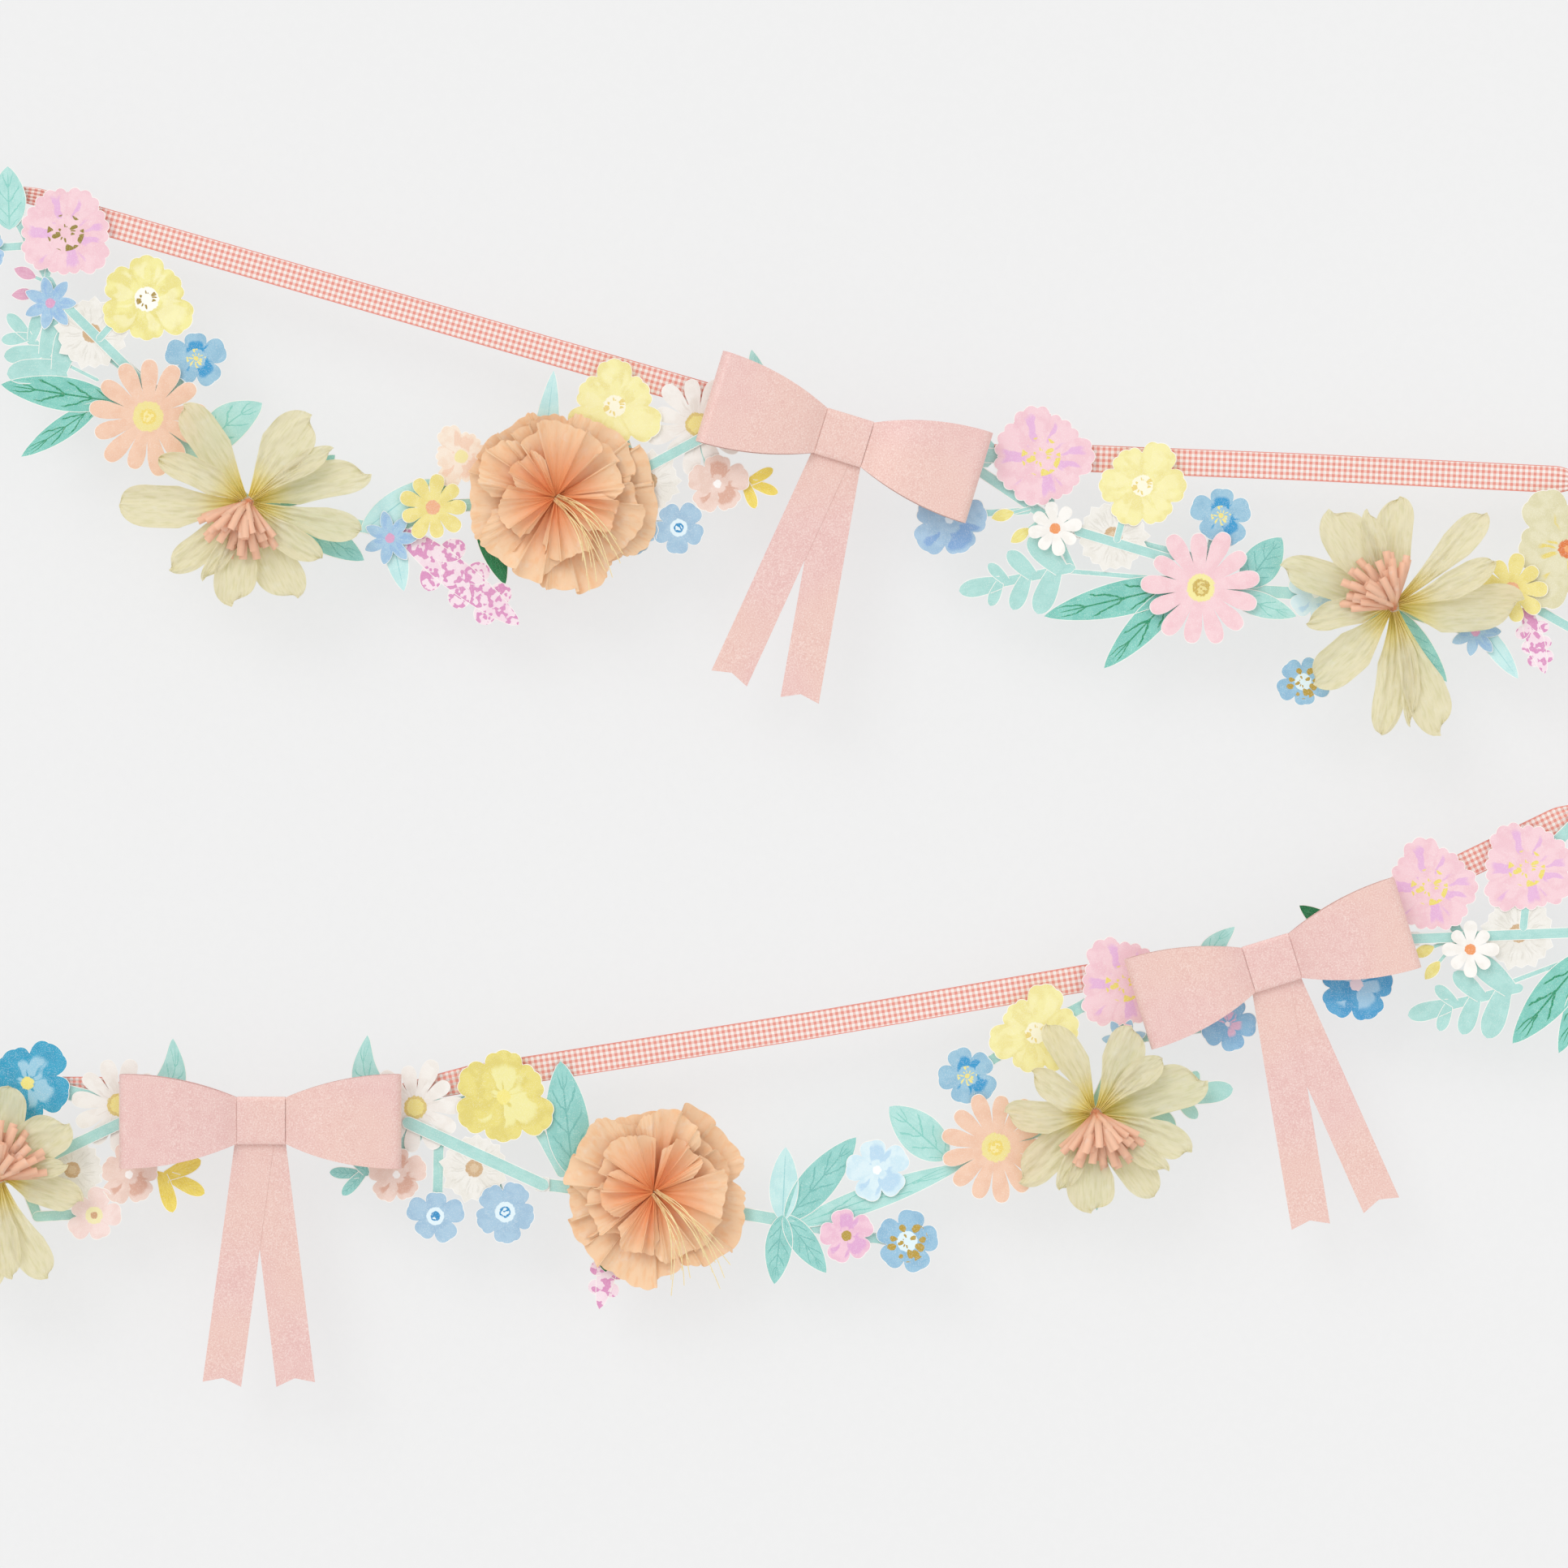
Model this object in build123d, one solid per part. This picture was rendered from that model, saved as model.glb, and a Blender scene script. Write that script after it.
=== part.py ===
from build123d import *
from dataclasses import dataclass
import math
import os

os.makedirs("parts", exist_ok=True)

# Flower and bow garland: one gingham ribbon doubled back into two strands, three folded paper
# bows, and five die-cut paper swags that hang on the ribbon and swing about it.
# It hangs in the XZ plane, faces -Y, and its origin is the nail in the upper left loop.
# Pieces are drawn flat, x to the right, y up and z towards the viewer, and stood up at the end.
# All lengths are millimetres. Names that end in px hold places on a 1932 pixel wide picture.

# Picture scale
view_width = 869.4
view_pixels = 1932
pixel = view_width / view_pixels
nail_px = (-112, 214)

# Paper, foam and ribbon
card = 0.4
foam = 1.5
foam_side = 8.0
ribbon_width = 15.0
ribbon_cloth = 0.4
gathered_width = 6.0
gathered_thickness = 1.2
ribbon_gap = 2.3
bow_clearance = 1.5

# Levels towards the viewer: the ribbon's front run is zero, its back run is behind the sprays
sprays_depth = ribbon_gap + 3 * card + 2 * foam
back_run = -(sprays_depth + bow_clearance)
spray_back = back_run + ribbon_gap

# Hanging tabs of the sprays and the slope of the ribbon through them
tab_length = 20.0
tab_height = 16.0
tab_rim = 3.0
tab_corner = 3.0
tab_seat = 0.4
ramp_behind = 3.0
ramp_ahead = 6.0

# Tied loops at the ends
eye_radius = 6.0
loop_strand = 3.0
loop_depth = 3.0
knot_radius = 4.8
knot_depth = 5.0
knot_sides = 8
eye_facets = 9

# Bows
bow_reach = 78.0
bow_outer_height = 52.0
bow_knot_width = 26.5
bow_knot_height = 26.5
bow_knot_depth = 3.4
bow_loop_depth = 12.0
bow_card = 0.5
bow_pad_width = 18.0
bow_pad_height = 10.0
bow_back_rise_share = 0.22
loop_back_shares = (0.5, 1.0)
loop_fold_turns = (-60, -20, 20, 60, 90)
loop_front_shares = ((0.7, 0.99), (0.4, 0.86), (0.15, 0.5))
loop_flare_shares = ((0.0, 0.0), (0.2, 0.42), (0.45, 0.78), (0.7, 0.95), (1.0, 1.0))
knot_round = 0.8
tail_width = 21.5
tail_length = 134.0
tail_notch = 3.5
tail_tuck = 8.0
left_tail_top = -4.2
right_tail_top = 2.6
left_tail_lean = 7.6
right_tail_lean = -7.0

# Stems, buds and small leaves
stem_width = 6.0
bud_length = 13.0
bud_width_share = 0.55
spot_side = 10.0
spot_sides = 6
bud_stalk_share = 0.6
bud_stalk_width_share = 0.4
fern_rib_share = 0.75
fern_rib_width_share = 0.6
fern_lobe_base_shares = (0.12, 0.4, 0.66)
fern_lobe_taper_share = 1.25
fern_lobe_share = 0.46
fern_lobe_width_share = 0.34
fern_lobe_angle = 38
fern_tip_base_share = 0.6
fern_tip_width_share = 0.136
sprig_rib_share = 0.6
sprig_rib_width_share = 0.5
sprig_leaf_base_shares = (0.45, 0.55, 0.5)
sprig_leaf_turns = (-70, -22, 25)
sprig_leaf_share = 0.6
sprig_leaf_width_share = 0.34
spike_width_share = 0.6
bell_base_shares = (0.3, 0.52, 0.72)
bell_droop_share = 0.08
bell_spread_share = 1.05
bell_taper_share = 0.5
bell_width_share = 0.48
leaf_side_shares = (0.16, 0.42, 0.72)
leaf_fullness = 0.85

# Tissue lilies
petal_sheet = 0.25
petal_rows_share = (0.0, 0.25, 0.6, 0.9, 1.0)
petal_width_shares = (0.28, 0.45, 0.9, 0.85, 0.3)
petal_rise_shares = (0.0, 0.5, 0.9, 1.0, 0.92)
petal_half_width = 11.5
petal_rise = 11.0
petal_cup = 2.2
petal_layer_gap = 1.0
lily_throat = 3.4
lily_stalk = 3.0
lily_stalk_sides = 6
tuft_length = 26.0
tuft_strip_width = 4.0
tuft_strips = 7
tuft_fan = 84
tuft_lean_share = 0.75
tuft_short_share = 0.25
tuft_rise_share = 0.35
tuft_rise_step_share = 0.2
tuft_root_width_share = 0.4

# Tissue carnations
ruffle_sheet = 0.2
ruffle_radius = 57.0
ruffle_pleats = 15
ruffle_pleat_height = 3.0
ruffle_layers = 4
ruffle_shrink_share = 0.2
ruffle_lift = 1.2
ruffle_rise = 4.0
ruffle_nibble_share = 0.08
thread_side = 0.6
thread_lift = 6.0
thread_shares = (0.06, 0.4, 0.7, 1.0)
thread_arch_share = 0.4
thread_peak_share = 0.6


@dataclass(frozen=True)
class Bloom:
    """One kind of die-cut flower, seen from the front."""

    petals: int
    radius: float
    notch_share: float
    tip_shares: tuple
    odd_share: float = 1.0


finger_tip_shares = ((-0.72, 0.72), (-0.42, 0.97), (0.42, 0.97), (0.72, 0.72))
scallop_tip_shares = ((-0.7, 0.7), (-0.25, 1.0), (0.25, 1.0), (0.7, 0.7))
broad_tip_shares = ((-0.85, 0.45), (-0.6, 0.85), (-0.2, 1.0), (0.2, 1.0), (0.6, 0.85), (0.85, 0.45))
point_tip_shares = ((-0.35, 0.75), (0.0, 1.0), (0.35, 0.75))
spike_tip_shares = ((0.0, 1.0),)

blooms = {
    "daisy": Bloom(13, 33.5, 0.46, finger_tip_shares, 0.95),
    "small_daisy": Bloom(8, 15.5, 0.45, finger_tip_shares),
    "yellow_daisy": Bloom(9, 19.5, 0.5, finger_tip_shares),
    "peony": Bloom(9, 26.0, 0.82, scallop_tip_shares, 0.93),
    "lobed": Bloom(6, 26.0, 0.66, scallop_tip_shares, 0.88),
    "frilly": Bloom(14, 20.0, 0.8, spike_tip_shares, 0.92),
    "star": Bloom(7, 15.5, 0.5, point_tip_shares),
    "five": Bloom(5, 17.0, 0.56, scallop_tip_shares, 0.94),
    "pansy": Bloom(5, 22.5, 0.64, broad_tip_shares, 0.92),
}

# Bows: knot centre and the slope of the ribbon that each is fixed to
bow_places_px = {"bow_1": (1040, 540), "bow_2": (323, 1380), "bow_3": (1566, 1186)}
bow_slopes = {"bow_1": -17.0, "bow_2": 0.0, "bow_3": 17.0}

# Hanging tabs: left and right end of each swag
tabs_px = {
    "upper_left": ((-24, 229), (936, 505)),
    "upper_right": ((1203, 553), (1962, 592)),
    "lower_left": ((-42, 1345), (222, 1376)),
    "lower_middle": ((436, 1362), (1446, 1198)),
    "lower_right": ((1690, 1124), (1962, 992)),
}

# Tied loops: the nail and the knot of each
loops_px = {
    "upper_left": (nail_px, (-60, 224)),
    "upper_right": ((2076, 586), (2024, 596)),
    "lower_right": ((2078, 957), (2024, 963)),
    "lower_left": ((-136, 1330), (-82, 1340)),
}

# Ribbon behind and between the sprays: place and width, from end to end of each flat stretch
ribbon_upper_left_px = ((45, 241, 10.0), (128, 272, 15.0), (875, 488, 15.0))
ribbon_upper_right_px = ((1223, 557, 10.0), (1345, 564, 15.0), (1600, 574, 15.0), (1925, 590, 15.0))
ribbon_lower_right_px = ((1925, 1010, 15.0), (1725, 1107, 15.0))
ribbon_lower_middle_px = ((1410, 1200, 12.0), (1343, 1205, 15.0), (1000, 1264, 15.0),
                        (670, 1316, 15.0), (580, 1330, 15.0), (470, 1354, 10.0))
ribbon_lower_left_px = ((190, 1364, 10.0), (125, 1341, 12.0), (35, 1341, 12.0), (-10, 1343, 10.0))
ribbon_side_px = ((2024, 655), (2034, 740), (2032, 820), (2012, 885))

# Sprays. A flower row is kind, place, turn and size share. A leaf row is kind, base, tip and
# width as a share of its length. A stem row ends in its width as a share of stem_width.
upper_left_a_back_px = (
    ("leaf", 8, 274, 14, 204, 0.36), ("stem", -24, 236, 10, 262, 1.0), ("stem", 6, 244, 59, 346, 0.8),
    ("stem", 60, 300, 57, 340, 0.6), ("stem", 59, 346, 84, 396, 1.0), ("stem", 72, 384, 190, 482, 1.2),
    ("stem", 118, 420, 150, 384, 0.9), ("stem", 48, 432, 118, 467, 0.4), ("bud", 60, 348, 16, 330),
    ("bud", 64, 358, 13, 363), ("fern", 76, 462, 8, 386, 0.9), ("leaf", 140, 494, 0, 473, 0.3),
    ("leaf", 122, 496, 25, 562, 0.24), ("leaf", 236, 562, 322, 492, 0.32),
    ("stem", 182, 513, 306, 620, 1.2), ("stem", 150, 384, 180, 365, 0.9),
    ("stem", 182, 513, 241, 441, 1.0), ("stem", -40, 306, 60, 300, 0.8), ("stem", 110, 480, 182, 513, 1.0),
    ("stem", 60, 300, 80, 286, 0.8), ("stem", 190, 482, 182, 513, 1.0),
)
upper_left_a_front_px = (
    ("peony", 80, 286, 10, 1.0), ("pansy", -26, 307, 40, 0.7), ("star", 61, 373, 0, 1.0),
    ("lobed", 180, 368, 90, 1.04), ("frilly", 118, 420, 0, 0.72), ("five", 241, 441, 20, 1.0),
)
upper_left_b_back_px = (
    ("leaf", 340, 625, 428, 588, 0.44), ("leaf", 350, 630, 448, 690, 0.36),
    ("leaf", 445, 655, 530, 590, 0.34), ("leaf", 480, 650, 497, 728, 0.36),
    ("foxglove", 490, 652, 640, 770, 0.24), ("leaf", 590, 625, 622, 720, 0.32),
    ("leaf", 662, 616, 682, 456, 0.2), ("stem", 783, 583, 865, 539, 0.9),
    ("sprig", 890, 590, 970, 600, 0.6), ("leaf", 906, 512, 926, 430, 0.36),
    ("stem", 306, 620, 480, 655, 1.2), ("stem", 480, 655, 533, 625, 1.2),
    ("stem", 533, 625, 685, 613, 1.2), ("stem", 533, 625, 568, 560, 1.0),
    ("stem", 685, 613, 783, 583, 1.2), ("stem", 783, 583, 755, 505, 1.0),
    ("stem", 783, 583, 783, 648, 1.0), ("stem", 783, 648, 832, 647, 1.0),
    ("stem", 865, 539, 880, 592, 1.0), ("stem", 859, 522, 936, 512, 1.4),
    ("stem", 865, 539, 859, 522, 1.2),
)
upper_left_b_front_px = (
    ("lobed", 568, 562, 0, 0.62), ("star", 480, 663, 0, 1.0), ("lobed", 757, 500, 90, 1.02),
    ("frilly", 800, 586, 0, 0.6), ("pansy", 884, 596, 90, 0.8), ("five", 836, 650, 50, 0.92),
    ("pansy", 778, 652, 70, 0.7), ("stem", 783, 583, 865, 539, 1.0),
)
upper_right_back_spray_px = (
    ("stem", 1203, 560, 1283, 562, 1.4), ("stem", 1205, 578, 1291, 637, 1.0),
    ("stem", 1334, 654, 1480, 690, 1.1), ("stem", 1377, 654, 1390, 625, 0.9),
    ("stem", 1170, 634, 1266, 629, 0.7), ("bud", 1268, 626, 1222, 638), ("bud", 1288, 636, 1246, 668),
    ("fern", 1318, 700, 1182, 728, 0.62), ("stem", 1300, 651, 1322, 700, 0.7),
    ("stem", 1314, 703, 1470, 716, 0.5), ("leaf", 1466, 718, 1287, 759, 0.24),
    ("leaf", 1462, 716, 1361, 823, 0.26), ("leaf", 1534, 730, 1584, 664, 0.42),
    ("leaf", 1515, 732, 1598, 759, 0.36), ("leaf", 1714, 748, 1784, 840, 0.26),
    ("leaf", 1824, 770, 1872, 836, 0.3), ("stem", 1863, 732, 1945, 778, 0.9),
    ("foxglove", 1880, 745, 1905, 830, 0.3), ("stem", 1283, 562, 1300, 651, 1.0),
    ("stem", 1291, 637, 1340, 656, 1.0), ("stem", 1390, 625, 1408, 597, 0.9),
    ("stem", 1480, 724, 1505, 635, 1.0), ("stem", 1480, 724, 1622, 732, 1.2),
    ("stem", 1480, 680, 1480, 724, 1.2), ("stem", 1622, 732, 1716, 747, 1.2),
    ("stem", 1716, 747, 1819, 778, 1.2), ("stem", 1819, 778, 1863, 726, 1.2),
    ("stem", 1863, 726, 1925, 680, 1.2), ("stem", 1925, 680, 1958, 602, 1.4),
    ("stem", 1716, 747, 1612, 838, 1.0),
)
upper_right_front_px = (
    ("pansy", 1170, 640, 80, 1.0), ("peony", 1283, 562, 0, 1.06), ("lobed", 1408, 598, 60, 0.98),
    ("frilly", 1368, 664, 0, 0.72), ("five", 1505, 635, 15, 1.02), ("star", 1622, 732, 0, 1.0),
    ("five", 1606, 840, 60, 0.9), ("star", 1819, 778, 0, 0.95), ("lobed", 1932, 676, 0, 1.3),
)
lower_left_back_px = (
    ("stem", 34, 1438, 150, 1383, 1.0), ("leaf", 168, 1362, 212, 1280, 0.36),
    ("sprig", 164, 1442, 262, 1462, 0.66), ("stem", 145, 1362, 222, 1372, 1.4),
    ("stem", 145, 1362, 35, 1335, 1.4), ("stem", 35, 1338, -42, 1342, 1.4),
    ("stem", 34, 1438, 0, 1438, 1.2), ("stem", 20, 1438, 45, 1500, 1.0),
    ("stem", 45, 1500, 115, 1496, 1.0), ("stem", 150, 1383, 158, 1445, 1.0),
    ("stem", 88, 1412, 88, 1446, 0.9), ("stem", 145, 1362, 150, 1390, 1.4),
    ("leaf", -6, 1450, -72, 1590, 0.22),
)
lower_left_front_px = (
    ("pansy", 33, 1335, 50, 1.12), ("frilly", 88, 1447, 0, 0.66), ("pansy", 158, 1448, 90, 0.8),
    ("five", 115, 1498, 75, 0.92), ("stem", 34, 1438, 150, 1383, 1.1),
)
lower_middle_a_back_px = (
    ("leaf", 490, 1362, 452, 1276, 0.34), ("sprig", 480, 1440, 396, 1456, 0.6),
    ("stem", 503, 1384, 668, 1460, 1.1), ("stem", 641, 1353, 691, 1445, 1.0),
    ("leaf", 706, 1450, 690, 1308, 0.38), ("leaf", 745, 1520, 746, 1568, 0.6),
    ("foxglove", 762, 1500, 738, 1614, 0.26), ("stem", 436, 1366, 511, 1365, 1.4),
    ("stem", 511, 1365, 511, 1400, 1.4), ("stem", 505, 1375, 488, 1447, 1.0),
    ("stem", 540, 1398, 538, 1497, 1.0), ("stem", 600, 1425, 621, 1495, 1.0),
    ("stem", 575, 1410, 577, 1449, 0.9), ("stem", 511, 1365, 626, 1353, 1.2),
    ("stem", 668, 1460, 804, 1477, 1.2), ("stem", 772, 1480, 758, 1520, 1.0),
    ("stem", 600, 1353, 650, 1353, 1.2),
)
lower_middle_a_front_px = (
    ("pansy", 488, 1448, 90, 0.76), ("lobed", 620, 1352, 90, 1.12), ("frilly", 580, 1446, 0, 0.66),
    ("five", 536, 1499, 15, 0.94), ("pansy", 622, 1494, 60, 0.82), ("stem", 668, 1460, 503, 1384, 1.2),
)
lower_middle_b_back_px = (
    ("leaf", 966, 1505, 966, 1414, 0.28), ("leaf", 966, 1505, 1055, 1402, 0.27),
    ("leaf", 966, 1500, 952, 1583, 0.3), ("leaf", 966, 1500, 1018, 1569, 0.26),
    ("leaf", 976, 1512, 1192, 1434, 0.14), ("leaf", 1084, 1446, 1160, 1364, 0.36),
    ("fern", 1362, 1368, 1520, 1342, 0.6), ("leaf", 1350, 1372, 1352, 1492, 0.24),
    ("leaf", 1494, 1210, 1522, 1142, 0.4), ("stem", 804, 1477, 966, 1505, 1.2),
    ("stem", 966, 1505, 1043, 1523, 1.0), ("stem", 1043, 1523, 1112, 1530, 1.0),
    ("stem", 1081, 1442, 1090, 1470, 1.0), ("stem", 1170, 1440, 1227, 1414, 1.0),
    ("stem", 1227, 1414, 1350, 1366, 1.2), ("stem", 1227, 1414, 1192, 1326, 1.0),
    ("stem", 1192, 1326, 1277, 1272, 1.0), ("stem", 1277, 1272, 1385, 1212, 1.2),
    ("stem", 1385, 1212, 1446, 1203, 1.4), ("stem", 1350, 1366, 1385, 1283, 1.2),
    ("stem", 1385, 1283, 1385, 1212, 1.0), ("stem", 1385, 1283, 1513, 1262, 0.9),
    ("stem", 1446, 1203, 1500, 1200, 1.0),
)
lower_middle_b_front_px = (
    ("star", 1081, 1442, 0, 1.15), ("five", 1043, 1523, 30, 0.95), ("five", 1118, 1530, 80, 1.1),
    ("five", 1192, 1326, 40, 1.02), ("lobed", 1277, 1273, 75, 1.0), ("peony", 1385, 1212, 20, 1.0),
    ("star", 1385, 1283, 20, 0.85), ("five", 1513, 1262, 70, 0.98),
)
lower_right_back_spray_px = (
    ("leaf", 1665, 1160, 1602, 1116, 0.36), ("stem", 1741, 1157, 1945, 1149, 1.0),
    ("stem", 1878, 1142, 1884, 1072, 0.9), ("bud", 1790, 1158, 1742, 1178),
    ("bud", 1796, 1160, 1757, 1207), ("fern", 1872, 1218, 1736, 1252, 0.66),
    ("stem", 1854, 1214, 1950, 1178, 0.5), ("leaf", 1960, 1172, 1865, 1286, 0.32),
    ("leaf", 1975, 1180, 1922, 1298, 0.28), ("stem", 1690, 1118, 1762, 1093, 1.4),
    ("stem", 1762, 1093, 1812, 1170, 1.0), ("stem", 1670, 1215, 1690, 1130, 1.0),
    ("stem", 1690, 1128, 1650, 1150, 1.0), ("stem", 1884, 1072, 1958, 1000, 1.2),
    ("stem", 1945, 1149, 1962, 1186, 1.0), ("stem", 1812, 1170, 1850, 1212, 0.7),
)
lower_right_front_px = (
    ("pansy", 1672, 1213, 80, 1.0), ("peony", 1762, 1093, 0, 1.0), ("peony", 1882, 1070, 20, 1.0),
    ("frilly", 1872, 1152, 0, 0.84),
)

# Daisies: kind, place, turn, size share, spray and how many layers of foam they stand on.
# One that stands on none is glued to the spray's back layer.
daisies_px = {
    "upper_left_peach_daisy": ("daisy", 182, 513, 5, 1.0, "upper_left_a", 2),
    "upper_left_yellow_daisy": ("yellow_daisy", 533, 625, 0, 1.0, "upper_left_b", 2),
    "upper_left_white_daisy": ("daisy", 859, 522, 0, 0.84, "upper_left_b", 0),
    "upper_right_pink_daisy": ("daisy", 1480, 724, 10, 1.0, "upper_right", 2),
    "upper_right_white_daisy": ("small_daisy", 1300, 651, 10, 1.0, "upper_right", 2),
    "upper_right_yellow_daisy": ("yellow_daisy", 1863, 726, 0, 1.04, "upper_right", 2),
    "lower_left_white_daisy": ("daisy", 145, 1362, 8, 0.83, "lower_left", 0),
    "lower_middle_white_daisy": ("daisy", 511, 1365, 3, 0.82, "lower_middle_a", 0),
    "lower_middle_peach_daisy": ("daisy", 1227, 1414, 0, 0.95, "lower_middle_b", 2),
    "lower_right_white_daisy": ("small_daisy", 1812, 1170, 0, 1.02, "lower_right", 2),
}

# Tissue flowers: centre and petal tips
lilies_px = {
    "upper_left": ((306, 620), ((228, 502), (384, 518), (453, 585), (446, 655), (365, 735),
                                (290, 743), (212, 700), (150, 622))),
    "upper_right": ((1716, 747), ((1581, 700), (1640, 632), (1722, 614), (1826, 634), (1870, 741),
                                  (1772, 900), (1700, 905), (1618, 840))),
    "lower_left": ((0, 1450), ((14, 1338), (84, 1384), (100, 1479), (62, 1570), (-20, 1592),
                               (-98, 1560), (-136, 1470), (-92, 1392))),
    "lower_middle": ((1350, 1372), ((1290, 1262), (1394, 1266), (1481, 1331), (1462, 1418),
                                    (1422, 1472), (1345, 1490), (1258, 1452), (1240, 1370))),
}
lily_turn = {"upper_left": 240, "upper_right": 130, "lower_left": 60, "lower_middle": 280}
carnations_px = {"upper_left": (685, 613), "lower_middle": (806, 1468)}
carnation_size_shares = {"upper_left": 1.0, "lower_middle": 0.98}
threads_px = {
    "upper_left": ((687, 611, 770, 700), (683, 615, 742, 722)),
    "lower_middle": ((804, 1470, 846, 1586), (808, 1466, 900, 1574)),
}


def at(place_px):
    """Point on the drawing for a place on the picture."""
    return Vector((place_px[0] - nail_px[0]) * pixel, (nail_px[1] - place_px[1]) * pixel)


def placed(place_px, level=0):
    """Location of a place on the picture, at a level."""
    point = at(place_px)
    return Pos(point.X, point.Y, level)


def polar(centre, radius, degrees):
    """Point at a distance and an angle from a centre."""
    turn = math.radians(degrees)
    return centre + Vector(radius * math.cos(turn), radius * math.sin(turn))


def along(start, end, share, side=0):
    """Point on the way from start to end, moved sideways to the left by a length."""
    run = end - start
    normal = Vector(-run.Y, run.X) * (side / run.length)
    return start + run * share + normal


def facing_viewer(face):
    """The same flat face, turned so that its front looks towards the viewer."""
    return face if face.normal_at().Z > 0 else -face


def polygon(points):
    """Flat face with straight sides."""
    return facing_viewer(Face(Wire.make_polygon([tuple(point) for point in points], close=True)))


def bloom_face(kind, x_px, y_px, turn, size_share):
    """Flower head: petals that are cut apart have straight sides, and every tip is rounded."""
    bloom = blooms[kind]
    centre = at((x_px, y_px))
    radius = bloom.radius * size_share
    half = 180 / bloom.petals
    points = []
    for i in range(bloom.petals):
        middle = turn + 2 * half * i
        reach = radius * (bloom.odd_share if i % 2 else 1)
        notch = radius * bloom.notch_share
        points.append(polar(centre, notch, middle - half))
        for across, out in bloom.tip_shares:
            points.append(polar(centre, notch + (reach - notch) * out, middle + half * across))
    return polygon(points)


def leaf_between(base, tip, width):
    """Leaf with two curved sides, widest before its middle."""
    left = []
    right = []
    for share in leaf_side_shares:
        half = width / 2 * math.sin(math.pi * share ** leaf_fullness)
        left.append(along(base, tip, share, half))
        right.append(along(base, tip, share, -half))
    return polygon([base] + right + [tip] + left[::-1])


def leaf_face(x0, y0, x1, y1, width_share):
    """Leaf from its base to its tip."""
    base = at((x0, y0))
    tip = at((x1, y1))
    return leaf_between(base, tip, width_share * (tip - base).length)


def strip(start, end, width):
    """Straight strip that overruns its two ends by half its width."""
    over = width / 2 / (end - start).length
    return polygon([along(start, end, -over, width / 2), along(start, end, 1 + over, width / 2),
                    along(start, end, 1 + over, -width / 2), along(start, end, -over, -width / 2)])


def fern_faces(x0, y0, x1, y1, width_share):
    """Lobed leaf: a midrib with paired round lobes and one at the tip."""
    base = at((x0, y0))
    tip = at((x1, y1))
    length = (tip - base).length
    heading = math.degrees(math.atan2(tip.Y - base.Y, tip.X - base.X))
    faces = [strip(base, along(base, tip, fern_rib_share), stem_width * fern_rib_width_share)]
    for share in fern_lobe_base_shares:
        lobe = length * fern_lobe_share * width_share * (fern_lobe_taper_share - share)
        for side in (-1, 1):
            start = along(base, tip, share)
            end = polar(start, lobe, heading + side * fern_lobe_angle)
            faces.append(leaf_between(start, end, lobe * fern_lobe_width_share))
    faces.append(leaf_between(along(base, tip, fern_tip_base_share), tip, length * fern_tip_width_share))
    return faces


def sprig_faces(x0, y0, x1, y1, width_share):
    """Small branch with three leaves."""
    base = at((x0, y0))
    tip = at((x1, y1))
    length = (tip - base).length
    heading = math.degrees(math.atan2(tip.Y - base.Y, tip.X - base.X))
    faces = [strip(base, along(base, tip, sprig_rib_share), stem_width * sprig_rib_width_share)]
    for share, turn in zip(sprig_leaf_base_shares, sprig_leaf_turns):
        start = along(base, tip, share)
        end = polar(start, length * sprig_leaf_share * width_share, heading + turn)
        faces.append(leaf_between(start, end, length * sprig_leaf_width_share * width_share))
    return faces


def foxglove_faces(x0, y0, x1, y1, width_share):
    """Flower spike: pairs of bells that shrink towards the tip."""
    base = at((x0, y0))
    tip = at((x1, y1))
    spread = (tip - base).length * width_share
    faces = [leaf_between(base, tip, spread * spike_width_share)]
    for share in bell_base_shares:
        for side in (-1, 1):
            start = along(base, tip, share)
            reach = side * spread * (bell_spread_share - bell_taper_share * share)
            end = along(base, tip, share + bell_droop_share, reach)
            faces.append(leaf_between(start, end, spread * bell_width_share))
    return faces


def bud_faces(x0, y0, x1, y1):
    """Bud on a short stalk."""
    base = at((x0, y0))
    tip = at((x1, y1))
    run = (tip - base).length
    start = along(base, tip, 1 - bud_length / run)
    return [strip(base, along(base, tip, bud_stalk_share), stem_width * bud_stalk_width_share),
            leaf_between(start, tip, bud_length * bud_width_share)]


def row_faces(row):
    """Faces of one row of a spray table."""
    kind = row[0]
    if kind in blooms:
        return [bloom_face(*row)]
    if kind == "leaf":
        return [leaf_face(*row[1:])]
    if kind == "fern":
        return fern_faces(*row[1:])
    if kind == "sprig":
        return sprig_faces(*row[1:])
    if kind == "foxglove":
        return foxglove_faces(*row[1:])
    if kind == "bud":
        return bud_faces(*row[1:])
    return [strip(at(row[1:3]), at(row[3:5]), stem_width * row[5])]


def tab_face(end_px, heading, hole):
    """Tab that hangs on the gathered ribbon by its hole's upper edge, or that hole."""
    rim = tab_rim if hole else 0
    length = tab_length / 2 - rim
    height = tab_height / 2 - rim
    corners = [(length, height - tab_corner), (length - tab_corner, height), (tab_corner - length, height),
               (-length, height - tab_corner)]
    corners += [(-x, -y) for x, y in corners]
    drop = tab_height / 2 - tab_rim - gathered_width / 2 - tab_seat
    return placed(end_px) * Rot(0, 0, heading) * Pos(0, -drop, 0) * polygon(corners)


def swag_heading(swag):
    """Slope of the line through a swag's two tabs, in degrees."""
    left, right = (at(end) for end in tabs_px[swag])
    return math.degrees(math.atan2(right.Y - left.Y, right.X - left.X))


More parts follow.
